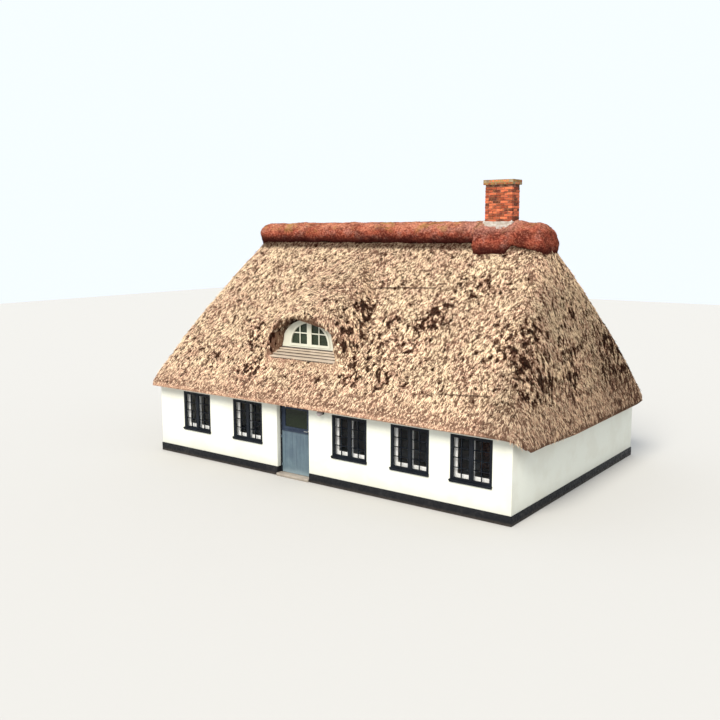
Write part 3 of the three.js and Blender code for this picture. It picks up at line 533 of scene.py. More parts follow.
# Dead heather: red-brown in patches; from one level up it is paler, bleached and with painted light on the
# top, and below another it is nearly black with painted shade
def makeHeather(name, lit, under):
    material, place = startMaterial(name, 0.95, 0.0, 0.0)
    across, _, height = axes(place)
    patchy = spread(noise(stretched(place, (0.7, 1.0, 1.0)), 3.4, 4.0, 0.6), 0.43, 0.61)
    base = mixColour(patchy * 0.85, heather["colour"], heather["dark"])
    uneven = spread(noise(stretched(place, (0.6, 1.0, 1.0)), 4.5, 4.0, 0.65), 0.38, 0.60, 0.18, 0.95)
    # Paler top of the roll: bleaching, and painted light
    base = mixColour(spread(height, *lit) * uneven, base, heather["pale"])
    faded = spread(noise(stretched(place, (2.6, 2.6, 4.0), (0, 0, 1)), 1.0, 5.0, 0.65), 0.50, 0.66)
    base = mixColour(faded * 0.4, base, heather["mauve"])
    trodden = spread(abs(across - 3.3), 1.1, 0.4) * spread(height, 6.45, 6.75, 0.0, 0.7)
    base = mixColour(trodden, base, heather["mauve"])
    strands = noise(stretched(place, (0.8, 1.0, 1.0)), 24.0, 5.0, 0.70)
    strands = strands + (attribute(place, "tone") - 0.5) * 0.10
    base = mixColour(spread(strands, 0.46, 0.70, 0.0, 0.70), base, heather["pale"])
    base = mixColour(spread(strands, 0.52, 0.34, 0.0, 0.75), base, heather["dark"])
    growth = spread(noise(place, 2.3, 4.0), 0.52, 0.66) * spread(height, 6.45, 6.80, 0.0, 0.6)
    base = mixColour(growth, base, heather["moss"])
    ragged = height + noise(place, 7.0, 3.0) * 0.12
    # Painted shade, nearly black, on the underside of the roll
    shade = mixColour(spread(ragged, *under, 0.0, 0.9), base, heather["shadow"])
    return endMaterial(material, shade, (noise(place, 60.0, 4.0), 0.8, 0.012))


# Brick: every brick has its own tone, some are burnt, mortar dust and moss lie on the high ones
def makeBrick(name, mossLevel):
    material, place = startMaterial(name, 0.88, 0.0, 0.15)
    tone = attribute(place, "tone")
    red = mixColour(spread(tone, 0.0, 0.8), rgb(0.20, 0.026, 0.013), rgb(0.75, 0.178, 0.079))
    red = mixColour(spread(tone, 0.84, 0.92), red, rgb(0.07, 0.014, 0.012))
    sandy = mottled(place, 26.0, red, rgb(0.39, 0.13, 0.06), 0.42, 0.7, 0.6)[0]
    banded = stretched(place, (0.5, 0.5, 1.5))
    sooty = mottled(banded, 7.0, sandy, rgb(0.08, 0.022, 0.018), 0.50, 0.66, 0.80)[0]
    height = axes(place)[2]
    # Painted shadow under the cap's overhang, on the top course
    shadowUnderCap = spread(height, 7.72, 7.78) * spread(height, 7.80, 7.79)
    shade = mixColour(shadowUnderCap * 0.8, sooty, rgb(0.05, 0.012, 0.010))
    growth = spread(noise(place, 12.0, 5.0, 0.7), 0.40, 0.58, 0.0, mossLevel)
    shade = mixColour(growth, shade, rgb(0.30, 0.20, 0.06))
    pits = noise(place, 70.0, 5.0, 0.75)
    return endMaterial(material, shade, (pits, 0.7, 0.006), Roughness=ranging(pits, 0.78, 0.98))


def makeMortar(name, colour, patch, mossLevel):
    material, place = startMaterial(name, 0.95, 0.0, 0.15)
    patchy = mottled(place, 9.0, colour, patch)[0]
    growth = spread(noise(place, 6.0, 5.0, 0.7), 0.46, 0.62, 0.0, mossLevel)
    shade = mixColour(growth, patchy, rgb(0.24, 0.19, 0.07))
    return endMaterial(material, shade, (noise(place, 45.0, 5.0, 0.75), 0.8, 0.01))


def makeFloorTile(name):
    material, place = startMaterial(name, 0.7)
    tiles = put("ShaderNodeTexBrick", {
        "Vector": place, "Color1": rgb(0.30, 0.25, 0.20), "Color2": rgb(0.36, 0.30, 0.24),
        "Mortar": rgb(0.20, 0.18, 0.16), "Mortar Size": 0.006,
        "Scale": 1.0, "Brick Width": 0.4, "Row Height": 0.4,
    })
    worn = mottled(place, 2.0, tiles, rgb(0.22, 0.19, 0.16), amount=0.5)[0]
    return endMaterial(material, worn, (Field(tiles.socket.node.outputs[1]), 0.5, 0.004))


def makePlainFloor(name):
    return endMaterial(startMaterial(name, 0.9)[0], light["floorColour"])


finishes = {
    "limewash": makeLimewash("limewash"),
    "tar": makeTar("tar"),
    "stone": makeStone("worn stone", rgb(0.38, 0.33, 0.27), rgb(0.27, 0.23, 0.19), 0.0),
    "navy": makePaint("navyPaint", rgb(0.0025, 0.004, 0.007), rgb(0.009, 0.013, 0.020), 0.5, 0.22),
    "door": makeDoorPaint("doorPaint"),
    "doorRail": makePaint("doorRailPaint", rgb(0.010, 0.017, 0.036), rgb(0.036, 0.052, 0.080), 0.5, 0.3),
    "white": makePaint("whitePaint", rgb(0.60, 0.590, 0.475), rgb(0.49, 0.46, 0.36)),
    "innerWhite": makePaint("innerWhitePaint", rgb(0.92, 0.91, 0.87), rgb(0.80, 0.78, 0.72), 0.3),
    "greyBoard": makeGreyBoard("greyBoard", rgb(0.50, 0.405, 0.295), rgb(0.19, 0.140, 0.105),
                               rgb(0.62, 0.510, 0.395)),
    # Near-black boards for the bed under the dormer's apron: painted shade in the gaps between the lapped
    # boards
    "apronBedShade": makeGreyBoard("apronBedShade", rgb(0.075, 0.055, 0.042), rgb(0.03, 0.022, 0.018),
                               rgb(0.11, 0.085, 0.065)),
    "timber": makeGreyBoard("timber", rgb(0.34, 0.23, 0.14), rgb(0.16, 0.10, 0.06), rgb(0.40, 0.29, 0.19)),
    "glass": makeGlass("windowGlass", rgb(0.040, 0.048, 0.056), 0.05, 0.15, 0.45),
    # The dormer's and the door's panes are nearly opaque and dark: painted shade of the unlit space behind
    # them
    "dormerGlassPaintedShade": makeGlass("dormerGlassPaintedShade", rgb(0.026, 0.036, 0.020), 0.78, 0.2, 0.25),
    "doorGlassPaintedShade": makeGlass("doorGlassPaintedShade", rgb(0.012, 0.018, 0.009), 0.80, 0.2, 0.25),
    "steel": makeMetal("steel", rgb(0.62, 0.62, 0.60), 0.3),
    "opal": makeOpal("opal"),
    "reed": makeReed("reed"),
    "heather": makeHeather("heather", (6.50, 6.82), (6.62, 6.36)),
    "heatherEnd": makeHeather("heatherEnd", (6.50, 6.88), (6.40, 6.05)),
    "brick": makeBrick("brick", 0.12),
    "capBrick": makeBrick("capBrick", 0.8),
    "mortar": makeMortar("mortar", rgb(0.40, 0.190, 0.125), rgb(0.10, 0.035, 0.025), 0.15),
    "capMortar": makeMortar("capMortar", rgb(0.34, 0.25, 0.16), rgb(0.22, 0.15, 0.09), 0.7),
    "cement": makeMortar("cement", rgb(0.50, 0.46, 0.41), rgb(0.33, 0.28, 0.24), 0.25),
    "floorTile": makeFloorTile("floorTile"),
    "paleFloor": makePlainFloor("paleFloor"),
}
print("materials made")

random.seed(4087)


# Modelling helpers
def deselectAll():
    if bpy.context.mode != "OBJECT":
        bpy.ops.object.mode_set(mode="OBJECT")
    bpy.ops.object.select_all(action="DESELECT")


def activate(obj):
    deselectAll()
    obj.select_set(True)
    bpy.context.view_layer.objects.active = obj


def applyPlace(obj):
    activate(obj)
    bpy.ops.object.transform_apply(location=True, rotation=True, scale=True)


def addModifier(obj, name, kind, **settings):
    setAll(obj.modifiers.new(name, kind), settings)


def applyModifiers(obj):
    activate(obj)
    for modifier in list(obj.modifiers):
        bpy.ops.object.modifier_apply(modifier=modifier.name)


def editAll():
    bpy.ops.object.mode_set(mode="EDIT")
    bpy.ops.mesh.select_all(action="SELECT")


def joinParts(name, parts):
    deselectAll()
    for part in parts:
        part.select_set(True)
    bpy.context.view_layer.objects.active = parts[0]
    if len(parts) > 1:
        bpy.ops.object.join()
    whole = bpy.context.view_layer.objects.active
    whole.name = name
    whole.data.name = name
    return whole


def copyObject(source, name):
    twin = source.copy()
    twin.data = source.data.copy()
    twin.name = name
    twin.data.name = name
    bpy.context.collection.objects.link(twin)
    return twin


def copyPiece(source, name, move, turn):
    twin = copyObject(source, name)
    twin.location = move
    twin.rotation_euler = (0, 0, math.radians(turn))
    applyPlace(twin)
    return twin


# A copy of a CAD node's mesh with its loose triangles merged and flat faces whole again
def mergedCopy(node, name):
    mesh = frame["nodes"][node].data.copy()
    mesh.materials.clear()
    twin = bpy.data.objects.new(name, mesh)
    bpy.context.collection.objects.link(twin)
    activate(twin)
    editAll()
    bpy.ops.mesh.remove_doubles(threshold=0.0001)
    bpy.ops.mesh.dissolve_limited(angle_limit=math.radians(1.0))
    bpy.ops.object.mode_set(mode="OBJECT")
    if "custom_normal" in mesh.attributes:
        mesh.attributes.remove(mesh.attributes["custom_normal"])
    return twin


# Bevels the arrises that are sharper than the angle
def easeEdges(obj, width, segments=2, angle=35.0):
    addModifier(obj, "eased", "BEVEL", width=width, segments=segments, limit_method="ANGLE",
                angle_limit=math.radians(angle), use_clamp_overlap=True)
    applyModifiers(obj)


def easedCopy(node, name, width, segments=1, angle=60.0):
    copied = mergedCopy(node, name)
    easeEdges(copied, width, segments, angle)
    return copied


def bevelAll(ease, clamped=False):
    editAll()
    bpy.ops.mesh.bevel(offset=ease, segments=1, affect="EDGES", clamp_overlap=clamped)
    bpy.ops.object.mode_set(mode="OBJECT")


# A bar between two corners, its arrises eased
def addBar(name, low, high, ease=0.003):
    deselectAll()
    low, high = Vector(low), Vector(high)
    bpy.ops.mesh.primitive_cube_add(size=1.0, location=(low + high) / 2)
    bar = bpy.context.object
    bar.name = name
    bar.scale = high - low
    applyPlace(bar)
    if ease:
        bevelAll(ease)
    return bar


# Two uprights, and two rails between them that stand back by `railIn`
def addFrame(left, right, foot, head, y, side, footRail, headRail, ease=0.003, railIn=0.0):
    front, back = y
    return [
        addBar("upright", (left, front, foot), (left + side, back, head), ease),
        addBar("upright", (right - side, front, foot), (right, back, head), ease),
        addBar("rail", (left + side, front + railIn, foot), (right - side, back, foot + footRail), ease),
        addBar("rail", (left + side, front + railIn, head - headRail), (right - side, back, head), ease),
    ]


def addRod(name, start, end, radius, sides=10):
    deselectAll()
    start, end = Vector(start), Vector(end)
    bpy.ops.mesh.primitive_cylinder_add(vertices=sides, radius=radius, depth=(end - start).length,
                                        location=(start + end) / 2)
    rod = bpy.context.object
    rod.name = name
    rod.rotation_euler = (end - start).to_track_quat("Z", "Y").to_euler()
    applyPlace(rod)
    bevelAll(radius * 0.2, True)
    return rod


# Gives a piece its material and smooth shading, parents it to its body, and hides the CAD nodes it stands
# for
def finishPiece(obj, finish, nodes=(), body="house", smoothAngle=35.0):
    obj.data.materials.clear()
    obj.data.materials.append(finishes[finish])
    activate(obj)
    bpy.ops.object.shade_smooth_by_angle(angle=math.radians(smoothAngle))
    applyModifiers(obj)
    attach(obj, body)
    if nodes:
        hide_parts(*nodes)


def triangles(obj):
    obj.data.calc_loop_triangles()
    return len(obj.data.loop_triangles)


# One value for each vertex, for the materials to read
def setAttribute(obj, name, values):
    obj.data.attributes.new(name, "FLOAT", "POINT").data.foreach_set("value", values)


# 0 at the start, 1 at the end and beyond
def share(value, start, end):
    return min(max((value - start) / (end - start), 0.0), 1.0)


def boxOf(node):
    return [Vector(corner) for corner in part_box(node)]


# Studio floor
deselectAll()
bpy.ops.mesh.primitive_plane_add(size=light["floorSize"], location=(0, 0, light["floorLevel"]))
studioFloor = bpy.context.object
studioFloor.name = "studio_floor"
studioFloor.data.materials.append(finishes["paleFloor"])

# CAD nodes that keep their shape
keptFinishes = {
    "floor_slab": "floorTile",
    "attic_floor": "timber",
    "back_windows_glass": "glass",
    "dormer_glass": "dormerGlassPaintedShade",
    "door_glass": "doorGlassPaintedShade",
}
for number in range(1, 6):
    keptFinishes[f"front_window_glass_{number}"] = "glass"
for node, finish in keptFinishes.items():
    mesh = frame["nodes"][node].data
    mesh.materials.clear()
    mesh.materials.append(finishes[finish])
print("kept nodes painted")


# Thatch: one continuous shell over the four slopes, lumpy outside, with tufts of reed standing out of it
thatch = {
    "nodes": ["thatch_front", "thatch_back", "thatch_left_hip", "thatch_right_hip"],
    "voxel": 0.066,
    "broadLumps": (0.75, 0.05, 0.5),
    "fineLumps": (0.13, 0.024, 0.75),
    "insideKept": 0.5,
    "trim": (0.001, 0.012),
    "tuft": {"wisps": 3, "length": 0.128, "width": 0.066, "thick": 0.016},
    "kinds": 10,
    "perSquareMetre": 290.0,
    "quickPerSquareMetre": 60.0,
    "lowestSlope": 0.12,
    "lift": 12.0,
    "swing": 15.0,
    "roll": 14.0,
    "size": (0.7, 1.35),
    "eaveScale": 0.45,
    "firstSeed": 11,
}


def lumpy(obj, name, size, depth, middle, group=""):
    texture = bpy.data.textures.new(name, "CLOUDS")
    texture.noise_scale = size
    texture.noise_depth = 2
    addModifier(obj, name, "DISPLACE", texture=texture, texture_coords="GLOBAL", strength=depth,
                mid_level=middle, vertex_group=group)


def remeshed(obj, voxel, smoothing):
    addModifier(obj, "voxels", "REMESH", mode="VOXEL", voxel_size=voxel, use_smooth_shade=True)
    addModifier(obj, "smooth", "SMOOTH", factor=0.5, iterations=smoothing)
    applyModifiers(obj)


# Wisps that reach past the eaves are trimmed back to the outline of the roof
def keepInside(obj):
    low, high = cadBox
    for vertex in obj.data.vertices:
        for axis in (0, 1):
            inset = random.uniform(*thatch["trim"])
            vertex.co[axis] = min(max(vertex.co[axis], low[axis] + inset), high[axis] - inset)


def makeThatchShell():
    shell = joinParts("thatch_shell", [mergedCopy(node, node + "_copy") for node in thatch["nodes"]])
    remeshed(shell, thatch["voxel"], 3)
    group = shell.vertex_groups.new(name="outside")
    group.add([vertex.index for vertex in shell.data.vertices if vertex.normal.z > thatch["lowestSlope"]],
              1.0, "REPLACE")
    lumpy(shell, "broadLumps", *thatch["broadLumps"], "outside")
    lumpy(shell, "fineLumps", *thatch["fineLumps"], "outside")
    applyModifiers(shell)
    keepInside(shell)
    addModifier(shell, "thinInside", "DECIMATE", ratio=thatch["insideKept"], vertex_group="outside",
                invert_vertex_group=True)
    applyModifiers(shell)
    return shell


# How the wisps of a tuft vary, as shares of its measures, in degrees and in metres
wispRanges = {
    "reach": (0.7, 1.15),
    "width": (1.1, 1.7),
    "thick": (0.8, 1.3),
    "pitch": (-9, 5),
    "yaw": (-13, 13),
    "forwards": (-0.02, 0.02),
    "upwards": (-0.002, 0.006),
}
rootShare = 0.42


def pick(name):
    return random.uniform(*wispRanges[name])


# A tuft: a few pointed wisps side by side, lying along +X with their tips raised
def makeTuft(name, wisps, length, width, thick):
    parts = []
    for index in range(wisps):
        deselectAll()
        bpy.ops.mesh.primitive_cone_add(vertices=3, radius1=0.5, radius2=0.0, depth=1.0, location=(0, 0, 0))
        wisp = bpy.context.object
        wisp.rotation_euler = (0, math.radians(90), 0)
        applyPlace(wisp)
        reach = length * pick("reach")
        wisp.scale = (reach, width / wisps * pick("width"), thick * pick("thick"))
        wisp.location = (reach / 2 - length * rootShare, 0, 0)
        applyPlace(wisp)
        wisp.rotation_euler = (0, math.radians(pick("pitch")), math.radians(pick("yaw")))
        side = (index + 0.5) / wisps - 0.5
        wisp.location = (pick("forwards"), side * width, pick("upwards"))
        applyPlace(wisp)
        parts.append(wisp)
    tuft = joinParts(name, parts)
    vertices = tuft.data.vertices
    each = len(vertices) // wisps
    tones = [random.random() for _ in range(wisps)]
    setAttribute(tuft, "strand", [tones[min(vertex.index // each, wisps - 1)] for vertex in vertices])
    setAttribute(tuft, "tip", [1.0 if vertex.co.x > 0.0 else 0.0 for vertex in vertices])
    return tuft


def tuftCollection(name, look):
    collection = bpy.data.collections.new(name)
    for index in range(look["kinds"]):
        tuft = makeTuft(f"{name}_{index + 1}", **look["tuft"])
        for owner in list(tuft.users_collection):
            owner.objects.unlink(tuft)
        collection.objects.link(tuft)
    return collection


# The eaves' level falls towards the right end
eaves = {
    "x": (5.2, 6.1),
    "z": (2.05, 1.6),
    "cutEdge": 0.09,
    "near": 0.25,
    "overWall": 3.6,
    "steeper": 0.08,
    "steeperOverWall": 0.25,
    "trimmed": (0.05, 0.30),
}


# 1 between two corners, 0 outside them
def between(values, corners):
    within = 1.0
    for value, low, high in zip(values, *corners):
        within = (value > low) * (value < high) * within
    return within


# Scatters a collection's tufts over a surface, tips down the slope, each with a tone of its own. They are
# smaller at the eaves, and keep off faces there that turn down
def scatterTufts(name, surface, collection, look, number, region=((-9, -9), (9, 9)), bare=None):
    seed = look["firstSeed"] + number
    lift, swing, leaning = [math.radians(look[name]) for name in ("lift", "swing", "roll")]
    density = look["perSquareMetre"]
    tree = bpy.data.node_groups.new(name, "GeometryNodeTree")
    for direction in ("INPUT", "OUTPUT"):
        tree.interface.new_socket("Geometry", in_out=direction, socket_type="NodeSocketGeometry")
    given = Field(tree.nodes.new("NodeGroupInput").outputs[0])
    result = tree.nodes.new("NodeGroupOutput")
    facing = axes(put("GeometryNodeInputNormal", {}, tree=tree))[2]
    across, inward, level = axes(put("GeometryNodeInputPosition", {}, tree=tree))
    rise = level - spread(across, *eaves["x"], *eaves["z"], "LINEAR")
    steeper = (abs(inward) > eaves["overWall"]) * eaves["steeperOverWall"] + eaves["steeper"]
    steeper = steeper * (rise < eaves["near"])
    chosen = (facing > steeper + look["lowestSlope"]) * between((across, inward), region)
    if bare:
        chosen = chosen * calculate("SUBTRACT", 1.0, between((across, inward, level), bare))
    points = put("GeometryNodeDistributePointsOnFaces", {
        "Mesh": given, "Selection": chosen, "Density": density, "Seed": seed})
    upwards = Field(points.socket.node.outputs["Normal"])
    drop = vectorMath("DOT_PRODUCT", {0: upwards, 1: (0, 0, -1)}, "Value")
    part = vectorMath("SCALE", {0: upwards, "Scale": drop})
    downhill = vectorMath("SUBTRACT", {0: (0, 0, -1), 1: part})
    stand = put("FunctionNodeAlignRotationToVector", {"Vector": upwards}, axis="Z")
    point = put("FunctionNodeAlignRotationToVector", {"Rotation": stand, "Vector": downhill},
                axis="X", pivot_axis="Z")

    def randomFloat(low, high, seedShift):
        return put("FunctionNodeRandomValue", {2: low, 3: high, "Seed": seed + seedShift}, 1, tree,
                   data_type="FLOAT")

    pitch = randomFloat(-lift * 1.7, -lift * 0.3, 1)
    yaw = randomFloat(-swing, swing, 2)
    roll = randomFloat(-leaning, leaning, 3)
    turn = put("ShaderNodeCombineXYZ", {0: roll, 1: pitch, 2: yaw})
    turned = put("FunctionNodeEulerToRotation", {0: turn})
    rotation = put("FunctionNodeRotateRotation", {0: point, 1: turned}, rotation_space="LOCAL")
    scale = randomFloat(*look["size"], 4) * spread(rise, *eaves["trimmed"], look["eaveScale"], 1.0, "LINEAR")
    source = put("GeometryNodeCollectionInfo", {
        "Collection": collection, "Separate Children": True, "Reset Children": True}, tree=tree)
    which = put("FunctionNodeRandomValue", {4: 0, 5: len(collection.objects) - 1, "Seed": seed + 5}, 2, tree,
                data_type="INT")
    placed = put("GeometryNodeInstanceOnPoints", {
        "Points": points, "Instance": source, "Pick Instance": True, "Instance Index": which,
        "Rotation": rotation, "Scale": scale})
    toned = put("GeometryNodeStoreNamedAttribute", {
        "Geometry": placed, "Name": "tone", "Value": randomFloat(0.0, 1.0, 6)},
        data_type="FLOAT", domain="INSTANCE")
    fill(result, {0: put("GeometryNodeRealizeInstances", {"Geometry": toned})})
    tufts = copyObject(surface, name)
    addModifier(tufts, "tufts", "NODES", node_group=tree)
    applyModifiers(tufts)
    return tufts


# The strip under the dormer's apron has no tufts, and the cut edge of the eaves has few. There the shell
# itself takes the tones of reed
bareLip = ((-2.1, -3.47, 2.9), (0.55, -3.30, 3.3))
lipMargin = (0.1, 0.08)
bareTones = {"tip": 0.5, "tone": 0.3, "strand": 0.3}
bareVariation = (0.6, 1.3)


def tuftless(place):
    low, high = bareLip
    inLength = low[0] - lipMargin[0] < place.x < high[0] + lipMargin[0]
    underApron = inLength and low[1] - lipMargin[1] < place.y < high[1] and place.z < high[2]
    top, bottom = eaves["z"]
    edge = top + eaves["cutEdge"] - (top - bottom) * share(place.x, *eaves["x"])
    return underApron or place.z < edge


shell = makeThatchShell()
tufts = tuftCollection("tuft", thatch)
quarters = {
    "reed_front_left": ((-9, -9), (0.4, 0)),
    "reed_front_right": ((0.4, -9), (9, 0)),
    "reed_back_left": ((-9, 0), (0.4, 9)),
    "reed_back_right": ((0.4, 0), (9, 9)),
}
for number, (name, region) in enumerate(quarters.items()):
    piece = scatterTufts(name, shell, tufts, thatch, number, region, bareLip)
    keepInside(piece)
    finishPiece(piece, "reed", smoothAngle=20.0)
    print(name, triangles(piece), "triangles")
for name, value in bareTones.items():
    setAttribute(shell, name, [value * tuftless(vertex.co) * random.uniform(*bareVariation)
                               for vertex in shell.data.vertices])
finishPiece(shell, "reed", thatch["nodes"], smoothAngle=60.0)
print("thatch shell", triangles(shell), "triangles")


# Heather: the ridge solids as shaggy rolls that tuck in under themselves, with short twigs all over
ridge = {
    "voxel": 0.045,
    "broadLumps": (0.36, 0.08, 0.6),
    "lumps": (0.13, 0.04, 0.75),
    "tuft": {"wisps": 2, "length": 0.065, "width": 0.026, "thick": 0.009},
    "kinds": 5,
    "perSquareMetre": 430.0,
    "quickPerSquareMetre": 60.0,
    "lowestSlope": -0.55,
    "lift": 16.0,
    "swing": 55.0,
    "roll": 14.0,
    "size": (0.6, 1.2),
    "eaveScale": 1.0,
    "firstSeed": 31,
    "bulgeHeight": 0.30,
    "tuck": 0.05,
    "tuckReach": 1.2,
    "tuckPower": 1.6,
}

# How far parts of the right end and its patch move, and the places along X, Y or Z between which they do
sagging = {
    "settle": 0.085,
    "settleX": (3.85, 4.2),
    "settleZ": (6.3, 6.7),
    "foot": 0.09,
    "footLeftX": (2.92, 3.1),
    "footRightX": (3.98, 3.8),
    "footY": (-0.12, -0.25),
    "footZ": (6.3, 6.6),
    "end": 0.22,
    "endX": (4.0, 4.75),
    "endZ": (6.6, 6.25),
    "patch": 0.13,
    "patchX": (3.98, 3.9),
    "patchZ": (6.45, 6.2),
    "lastX": (4.5, 4.85),
    "frontY": (0.1, -0.3),
    "lastFrontY": (0.6, 0.1),
    "move": (0.25, -0.66, -0.75),
}


# The right end lies lower than the rest, and its front and the patch sag down the slope
def sagRightEnd(roll):
    def along(value, name):
        return share(value, *sagging[name])

    outwards, forwards, down = sagging["move"]
    for vertex in roll.data.vertices:
        x, y, z = vertex.co
        settled = sagging["settle"] * along(x, "settleX") * along(z, "settleZ")
        foot = along(x, "footLeftX") * along(x, "footRightX") * along(y, "footY") * along(z, "footZ")
        last = along(x, "lastX")
        start, end = [a + (b - a) * last for a, b in zip(sagging["frontY"], sagging["lastFrontY"])]
        sag = max(sagging["end"] * along(x, "endX") * along(z, "endZ"),
                  sagging["patch"] * along(x, "patchX") * along(z, "patchZ")) * share(y, start, end)
        vertex.co.x += outwards * sag * last
        vertex.co.y += forwards * sag * (1.0 - last)
        vertex.co.z += down * sag - settled - sagging["foot"] * foot


def makeHeatherRoll(name, nodes, foot):
    roll = joinParts(name, [mergedCopy(node, node + "_copy") for node in nodes])
    remeshed(roll, ridge["voxel"], 4)
    if len(nodes) > 1:
        sagRightEnd(roll)
    for vertex in roll.data.vertices:
        below = (foot + ridge["bulgeHeight"] - vertex.co.z) / ridge["bulgeHeight"]
        if below > 0:
            tuck = ridge["tuck"] * min(below, ridge["tuckReach"]) ** ridge["tuckPower"]
            vertex.co.y -= math.copysign(tuck, vertex.co.y)
    lumpy(roll, name + "_broad", *ridge["broadLumps"])
    lumpy(roll, name + "_lumps", *ridge["lumps"])
    applyModifiers(roll)
    return roll


twigs = tuftCollection("twig", ridge)
rolls = {
    "heather_main": (["ridge_main"], 6.2, "heather"),
    "heather_right": (["ridge_right_end", "ridge_patch_front", "ridge_patch_back"], 6.0, "heatherEnd"),
}
for number, (name, (nodes, foot, finish)) in enumerate(rolls.items()):
    roll = makeHeatherRoll(name, nodes, foot)
    whole = joinParts(name, [roll, scatterTufts(name + "_twigs", roll, twigs, ridge, number)])
    finishPiece(whole, finish, nodes, smoothAngle=40.0)
    print(name, triangles(whole), "triangles")
print("heather laid")


# Chimney: real courses in mortar from under the heather up, and a corbelled cap of two courses
chimney = {
    "brickLength": 0.240,
    "brickDepth": 0.112,
    "joint": 0.011,
    "courseHeight": 0.0695,
    "firstCourse": 6.55,
    "coreInset": 0.008,
    "flueHalf": (0.3, 0.16),
    "ease": 0.004,
    "jitter": 0.003,
    "jitterTurn": 0.4,
}


# Lays one course as bricks along X at front and back, or along Y at the ends, the corners turned by `long`
def courseBricks(low, high, z, long, height):
    deep, joint = chimney["brickDepth"], chimney["joint"]
    bricks = []
    for axis in (0, 1):
        inset = 0.0 if long == (axis == 0) else deep + joint
        start, end = low[axis] + inset, high[axis] - inset
        halves = max(2, round((end - start) / (chimney["brickLength"] / 2)))
        cuts = [0] if halves % 2 == 0 else [0, 1]
        while cuts[-1] < halves:
            cuts.append(min(cuts[-1] + 2, halves))
        step = (end - start) / halves
        other = 1 - axis
        sides = ((low[other], low[other] + deep), (high[other] - deep, high[other]))
        for first, last in zip(cuts, cuts[1:]):
            for near, far in sides:
                corner = (start + first * step + joint / 2, near)
                opposite = (start + last * step - joint / 2, far)
                if axis == 1:
                    corner, opposite = corner[::-1], opposite[::-1]
                bricks.append(((*corner, z), (*opposite, z + height - joint)))
    return bricks


def layBricks(name, courses):
    model = addBar("brick_model", (-0.5, -0.5, -0.5), (0.5, 0.5, 0.5), 0)
    bricks = []
    for low, high in courses:
        low, high = Vector(low), Vector(high)
        brick = copyObject(model, "brick")
        brick.scale = high - low
        shift = [random.uniform(-1, 0) * chimney["jitter"] for _ in range(3)]
        middle = (low + high) / 2
        for axis in (0, 1):
            middle[axis] += math.copysign(shift[axis], middle[axis] - chimneyMiddle[axis])
        brick.location = middle
        turn = random.uniform(-chimney["jitterTurn"], chimney["jitterTurn"])
        brick.rotation_euler = (0, 0, math.radians(turn))
        setAttribute(brick, "tone", [random.random()] * len(brick.data.vertices))
        bricks.append(brick)
    for brick in bricks:
        brick.data.transform(brick.matrix_basis)
        brick.matrix_basis.identity()
    whole = joinParts(name, bricks)
    bpy.data.objects.remove(model)
    easeEdges(whole, chimney["ease"], 1)
    return whole


shaftLow, shaftHigh = boxOf("chimney_shaft")
capLow, capHigh = boxOf("chimney_cap")
chimneyMiddle = (shaftLow + shaftHigh) / 2
courses = []
level = chimney["firstCourse"]
count = 0
while level + chimney["courseHeight"] <= shaftHigh.z + 0.01:
    courses += courseBricks(shaftLow, shaftHigh, level, count % 2 == 0, chimney["courseHeight"])
    level += chimney["courseHeight"]
    count += 1
finishPiece(layBricks("chimney_bricks", courses), "brick")
core = mergedCopy("chimney_shaft", "chimney_core")
for vertex in core.data.vertices:
    beside = vertex.co.x - chimneyMiddle.x
    if abs(beside) >= chimney["flueHalf"][0] or abs(vertex.co.y) > chimney["flueHalf"][1]:
        vertex.co.x -= math.copysign(chimney["coreInset"], beside)
        vertex.co.y -= math.copysign(chimney["coreInset"], vertex.co.y)
finishPiece(core, "mortar", ["chimney_shaft"])
capHeight = (capHigh.z - capLow.z) / 2
capCourses = courseBricks(capLow, capHigh, capLow.z, True, capHeight)
capCourses += courseBricks(capLow, capHigh, capLow.z + capHeight, False, capHeight)
finishPiece(layBricks("chimney_cap_bricks", capCourses), "capBrick")
finishPiece(mergedCopy("chimney_cap", "chimney_cap_core"), "capMortar", ["chimney_cap"])
print("chimney laid,", len(courses) + len(capCourses), "bricks")


# Walls and plinth: rings of masonry with the openings cut through and the arrises rounded by limewash
masonry = {
    "wallNodes": ["front_wall_left", "front_wall_right", "front_wall_over_door", "back_wall",
                  "left_end_wall", "right_end_wall"],
    "plinthNodes": ["plinth_front_left", "plinth_front_right", "plinth_back", "plinth_left_end",
                    "plinth_right_end"],
    "faceY": 3.9,
    "doorY": (-4.2, -3.3),
    "wallThick": 0.35,
    "plinthThick": 0.37,
    "sillOverlap": 0.024,
    "sillUnder": 0.035,
    "wallEase": 0.014,
    "plinthEase": 0.012,
    "stepEase": 0.012,
    "beyond": 0.4,
}


def cutOut(obj, low, high):
    cutter = addBar("cutter", low, high, 0)
    addModifier(obj, "cut", "BOOLEAN", operation="DIFFERENCE", solver="EXACT", object=cutter)
    applyModifiers(obj)
    bpy.data.objects.remove(cutter)


def addRing(name, nodes, thick, openings, ease):
    boxes = [boxOf(node) for node in nodes]
    low = Vector([min(box[0][axis] for box in boxes) for axis in range(3)])
    high = Vector([max(box[1][axis] for box in boxes) for axis in range(3)])
    ring = addBar(name, low, high, 0)
    inset = Vector((thick, thick, -1.0))
    cutOut(ring, low + inset, high - inset)
    for opening in openings:
        cutOut(ring, *opening)
    easeEdges(ring, ease, 2, 60.0)
    return ring


